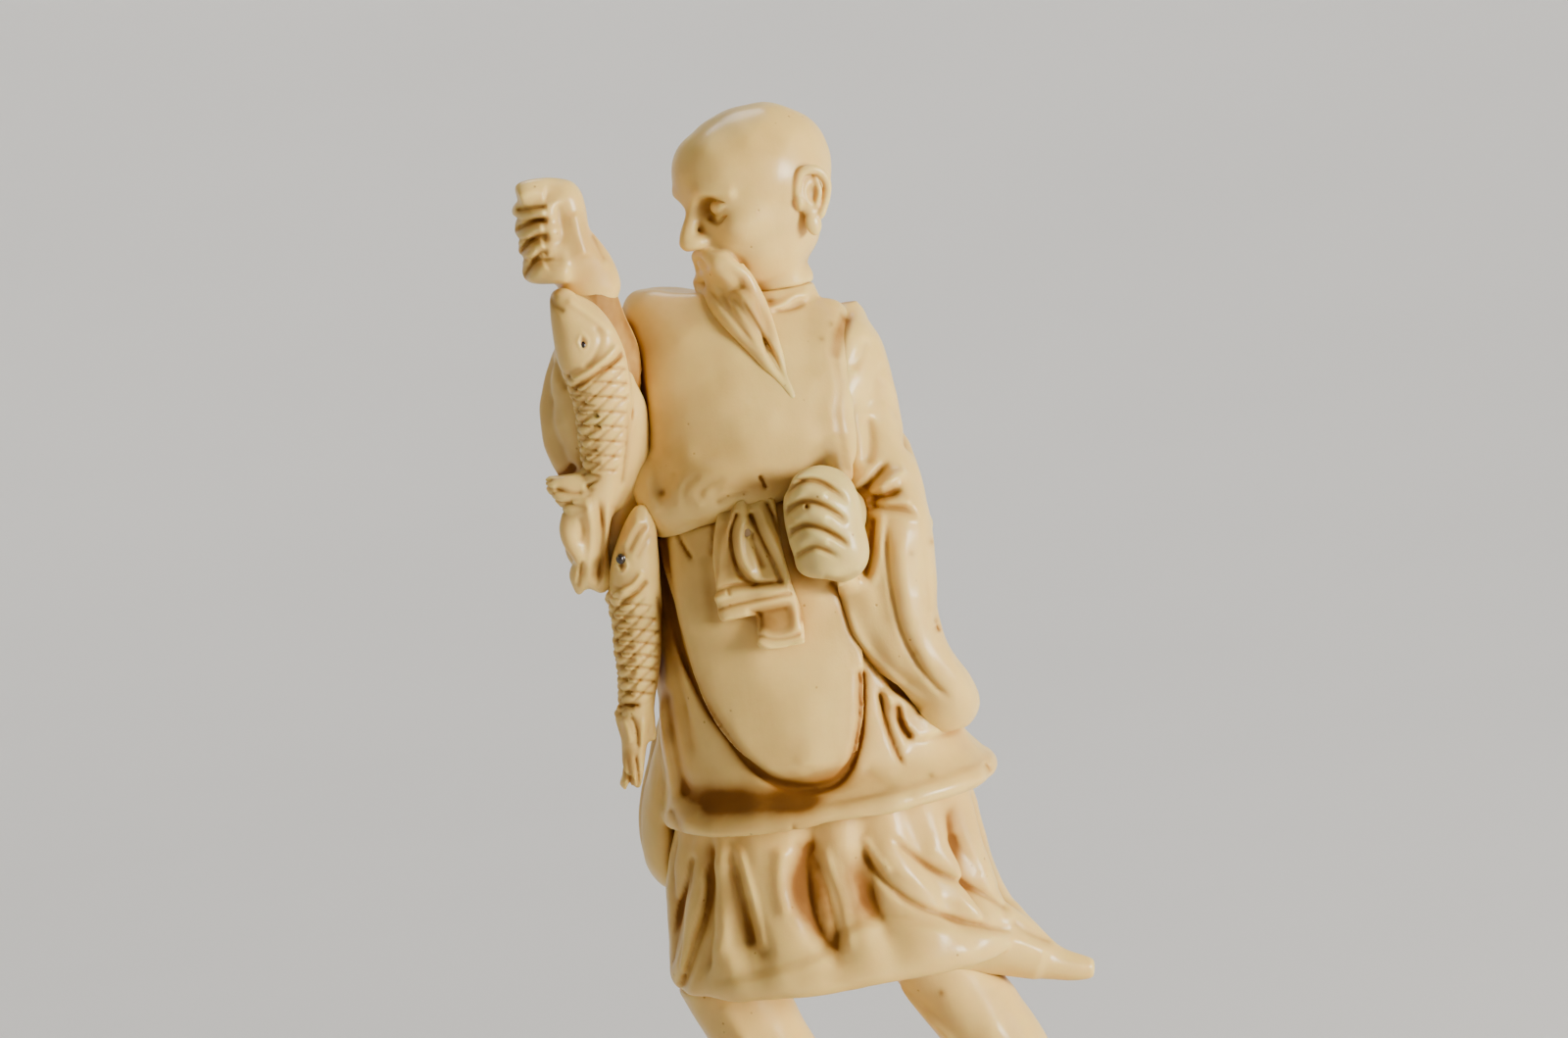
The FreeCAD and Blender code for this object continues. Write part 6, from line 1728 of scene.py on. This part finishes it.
def set_stage():
    """The floor, the lamps, the soft room and the camera."""
    given = settings("stage")
    scene = bpy.context.scene
    second = tuple(0.96 * c for c in given.floor[:3]) + (1,)
    paper = plain_material("stage_paper", tuple(given.floor), second, scale=6, roughness=0.85, relief=0.00003)
    studio_floor(paper)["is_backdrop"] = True
    for name, (place, size, target, colour, setting) in LAMPS.items():
        soft_light(name, place, size, target, colour, getattr(given, setting))
    world = bpy.data.worlds.new("soft_room")
    world.use_nodes = True
    world.node_tree.nodes["Background"].inputs["Color"].default_value = ROOM_TONE
    world.node_tree.nodes["Background"].inputs["Strength"].default_value = ROOM_STRENGTH
    scene.world = world
    film = bpy.data.cameras.new("view_camera")
    film.sensor_width = given.sensor
    film.lens = given.sensor * PHOTO.distance / (PHOTO.width * PHOTO.pitch)
    film.clip_start = 0.01
    film.dof.use_dof = False
    camera = bpy.data.objects.new("view_camera", film)
    toward = Vector((0, -math.cos(PHOTO.elevation), math.sin(PHOTO.elevation)))
    camera.location = Vector(PHOTO.target) / MM + toward * given.distance
    level = toward.to_track_quat("Z", "Y").to_matrix().to_4x4()
    camera.rotation_euler = (level @ Matrix.Rotation(-PHOTO.roll, 4, "Z")).to_euler()
    scene.collection.objects.link(camera)
    scene.camera = camera


# The add-on

class CARVING_OT_ground(bpy.types.Operator):
    """Breaks the ground block into low, knobbly rock"""
    bl_idname = "carving.ground"
    bl_label = "Carve ground"

    def execute(self, context):
        carve_ground()
        return {"FINISHED"}


class CARVING_OT_legs(bpy.types.Operator):
    """Gives both legs their toes, ankles and sinews"""
    bl_idname = "carving.legs"
    bl_label = "Carve legs"

    def execute(self, context):
        carve_leg(-1)
        carve_leg(1)
        return {"FINISHED"}


class CARVING_OT_lower_robe(bpy.types.Operator):
    """Cuts the folds and the hem of the lower robe"""
    bl_idname = "carving.lower_robe"
    bl_label = "Carve lower robe"

    def execute(self, context):
        carve_lower_robe()
        return {"FINISHED"}


class CARVING_OT_upper_robe(bpy.types.Operator):
    """Cuts the skirts with their front panel, and the blouse that hangs over them"""
    bl_idname = "carving.upper_robe"
    bl_label = "Carve upper robe"

    def execute(self, context):
        carve_skirts()
        carve_chest()
        return {"FINISHED"}


class CARVING_OT_sleeves(bpy.types.Operator):
    """Cuts the creases of both sleeves"""
    bl_idname = "carving.sleeves"
    bl_label = "Carve sleeves"

    def execute(self, context):
        carve_left_sleeve()
        carve_right_sleeve()
        return {"FINISHED"}


class CARVING_OT_hands(bpy.types.Operator):
    """Parts the fingers of both fists"""
    bl_idname = "carving.hands"
    bl_label = "Carve hands"

    def execute(self, context):
        carve_left_hand()
        carve_right_hand()
        return {"FINISHED"}


class CARVING_OT_head(bpy.types.Operator):
    """Carves the face, the ears and the strands of the beard"""
    bl_idname = "carving.head"
    bl_label = "Carve head"

    def execute(self, context):
        carve_head()
        return {"FINISHED"}


class CARVING_OT_carp(bpy.types.Operator):
    """Cuts the scales, gills, fins and tails of both carp, and sets their eyes"""
    bl_idname = "carving.carp"
    bl_label = "Carve carp"

    def execute(self, context):
        carve_upper_carp()
        carve_lower_carp()
        carve_eyes()
        return {"FINISHED"}


class CARVING_OT_sash(bpy.types.Operator):
    """Cuts the loop, the ends and the hems of the sash"""
    bl_idname = "carving.sash"
    bl_label = "Carve sash"

    def execute(self, context):
        carve_sash()
        return {"FINISHED"}


class CARVING_OT_dowels(bpy.types.Operator):
    """Finishes the hidden dowels and pins"""
    bl_idname = "carving.dowels"
    bl_label = "Finish dowels"

    def execute(self, context):
        finish_dowels()
        return {"FINISHED"}


class CARVING_OT_stage(bpy.types.Operator):
    """Sets the floor, the soft lights and the camera"""
    bl_idname = "carving.stage"
    bl_label = "Set stage"

    def execute(self, context):
        set_stage()
        return {"FINISHED"}


STEPS = (CARVING_OT_ground, CARVING_OT_legs, CARVING_OT_lower_robe, CARVING_OT_upper_robe, CARVING_OT_sleeves,
         CARVING_OT_hands, CARVING_OT_head, CARVING_OT_carp, CARVING_OT_sash, CARVING_OT_dowels,
         CARVING_OT_stage)
SETTINGS = (("ivory", IvorySettings), ("carving", CarvingSettings), ("stage", StageSettings))


class CARVING_PT_panel(bpy.types.Panel):
    """The settings and the steps of the carving"""
    bl_idname = "CARVING_PT_panel"
    bl_label = "Carved fisherman"
    bl_space_type = "VIEW_3D"
    bl_region_type = "UI"
    bl_category = "Carving"

    def draw(self, context):
        for name, group in SETTINGS:
            box = self.layout.box()
            box.label(text=name.capitalize())
            for key in group.__annotations__:
                box.prop(getattr(context.scene, name), key)
        for step in STEPS:
            self.layout.operator(step.bl_idname)


def register():
    for name, group in SETTINGS:
        bpy.utils.register_class(group)
        setattr(bpy.types.Scene, name, PointerProperty(type=group))
    for step in STEPS:
        bpy.utils.register_class(step)
    bpy.utils.register_class(CARVING_PT_panel)


def unregister():
    bpy.utils.unregister_class(CARVING_PT_panel)
    for step in reversed(STEPS):
        bpy.utils.unregister_class(step)
    for name, group in reversed(SETTINGS):
        delattr(bpy.types.Scene, name)
        bpy.utils.unregister_class(group)


def plain(value):
    """Vectors and tuples as lists of numbers."""
    if isinstance(value, dict):
        return {key: plain(item) for key, item in value.items()}
    if hasattr(value, "__len__") and not isinstance(value, str):
        return [plain(item) for item in value]
    return value


def main():
    register()
    bpy.ops.carving.ground()
    bpy.ops.carving.legs()
    bpy.ops.carving.lower_robe()
    bpy.ops.carving.upper_robe()
    bpy.ops.carving.sleeves()
    bpy.ops.carving.hands()
    bpy.ops.carving.head()
    bpy.ops.carving.carp()
    bpy.ops.carving.sash()
    bpy.ops.carving.dowels()
    bpy.ops.carving.stage()
    {"cad": plain(cad_bounds), "looks": plain(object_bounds())}


if __name__ == "__main__":
    main()
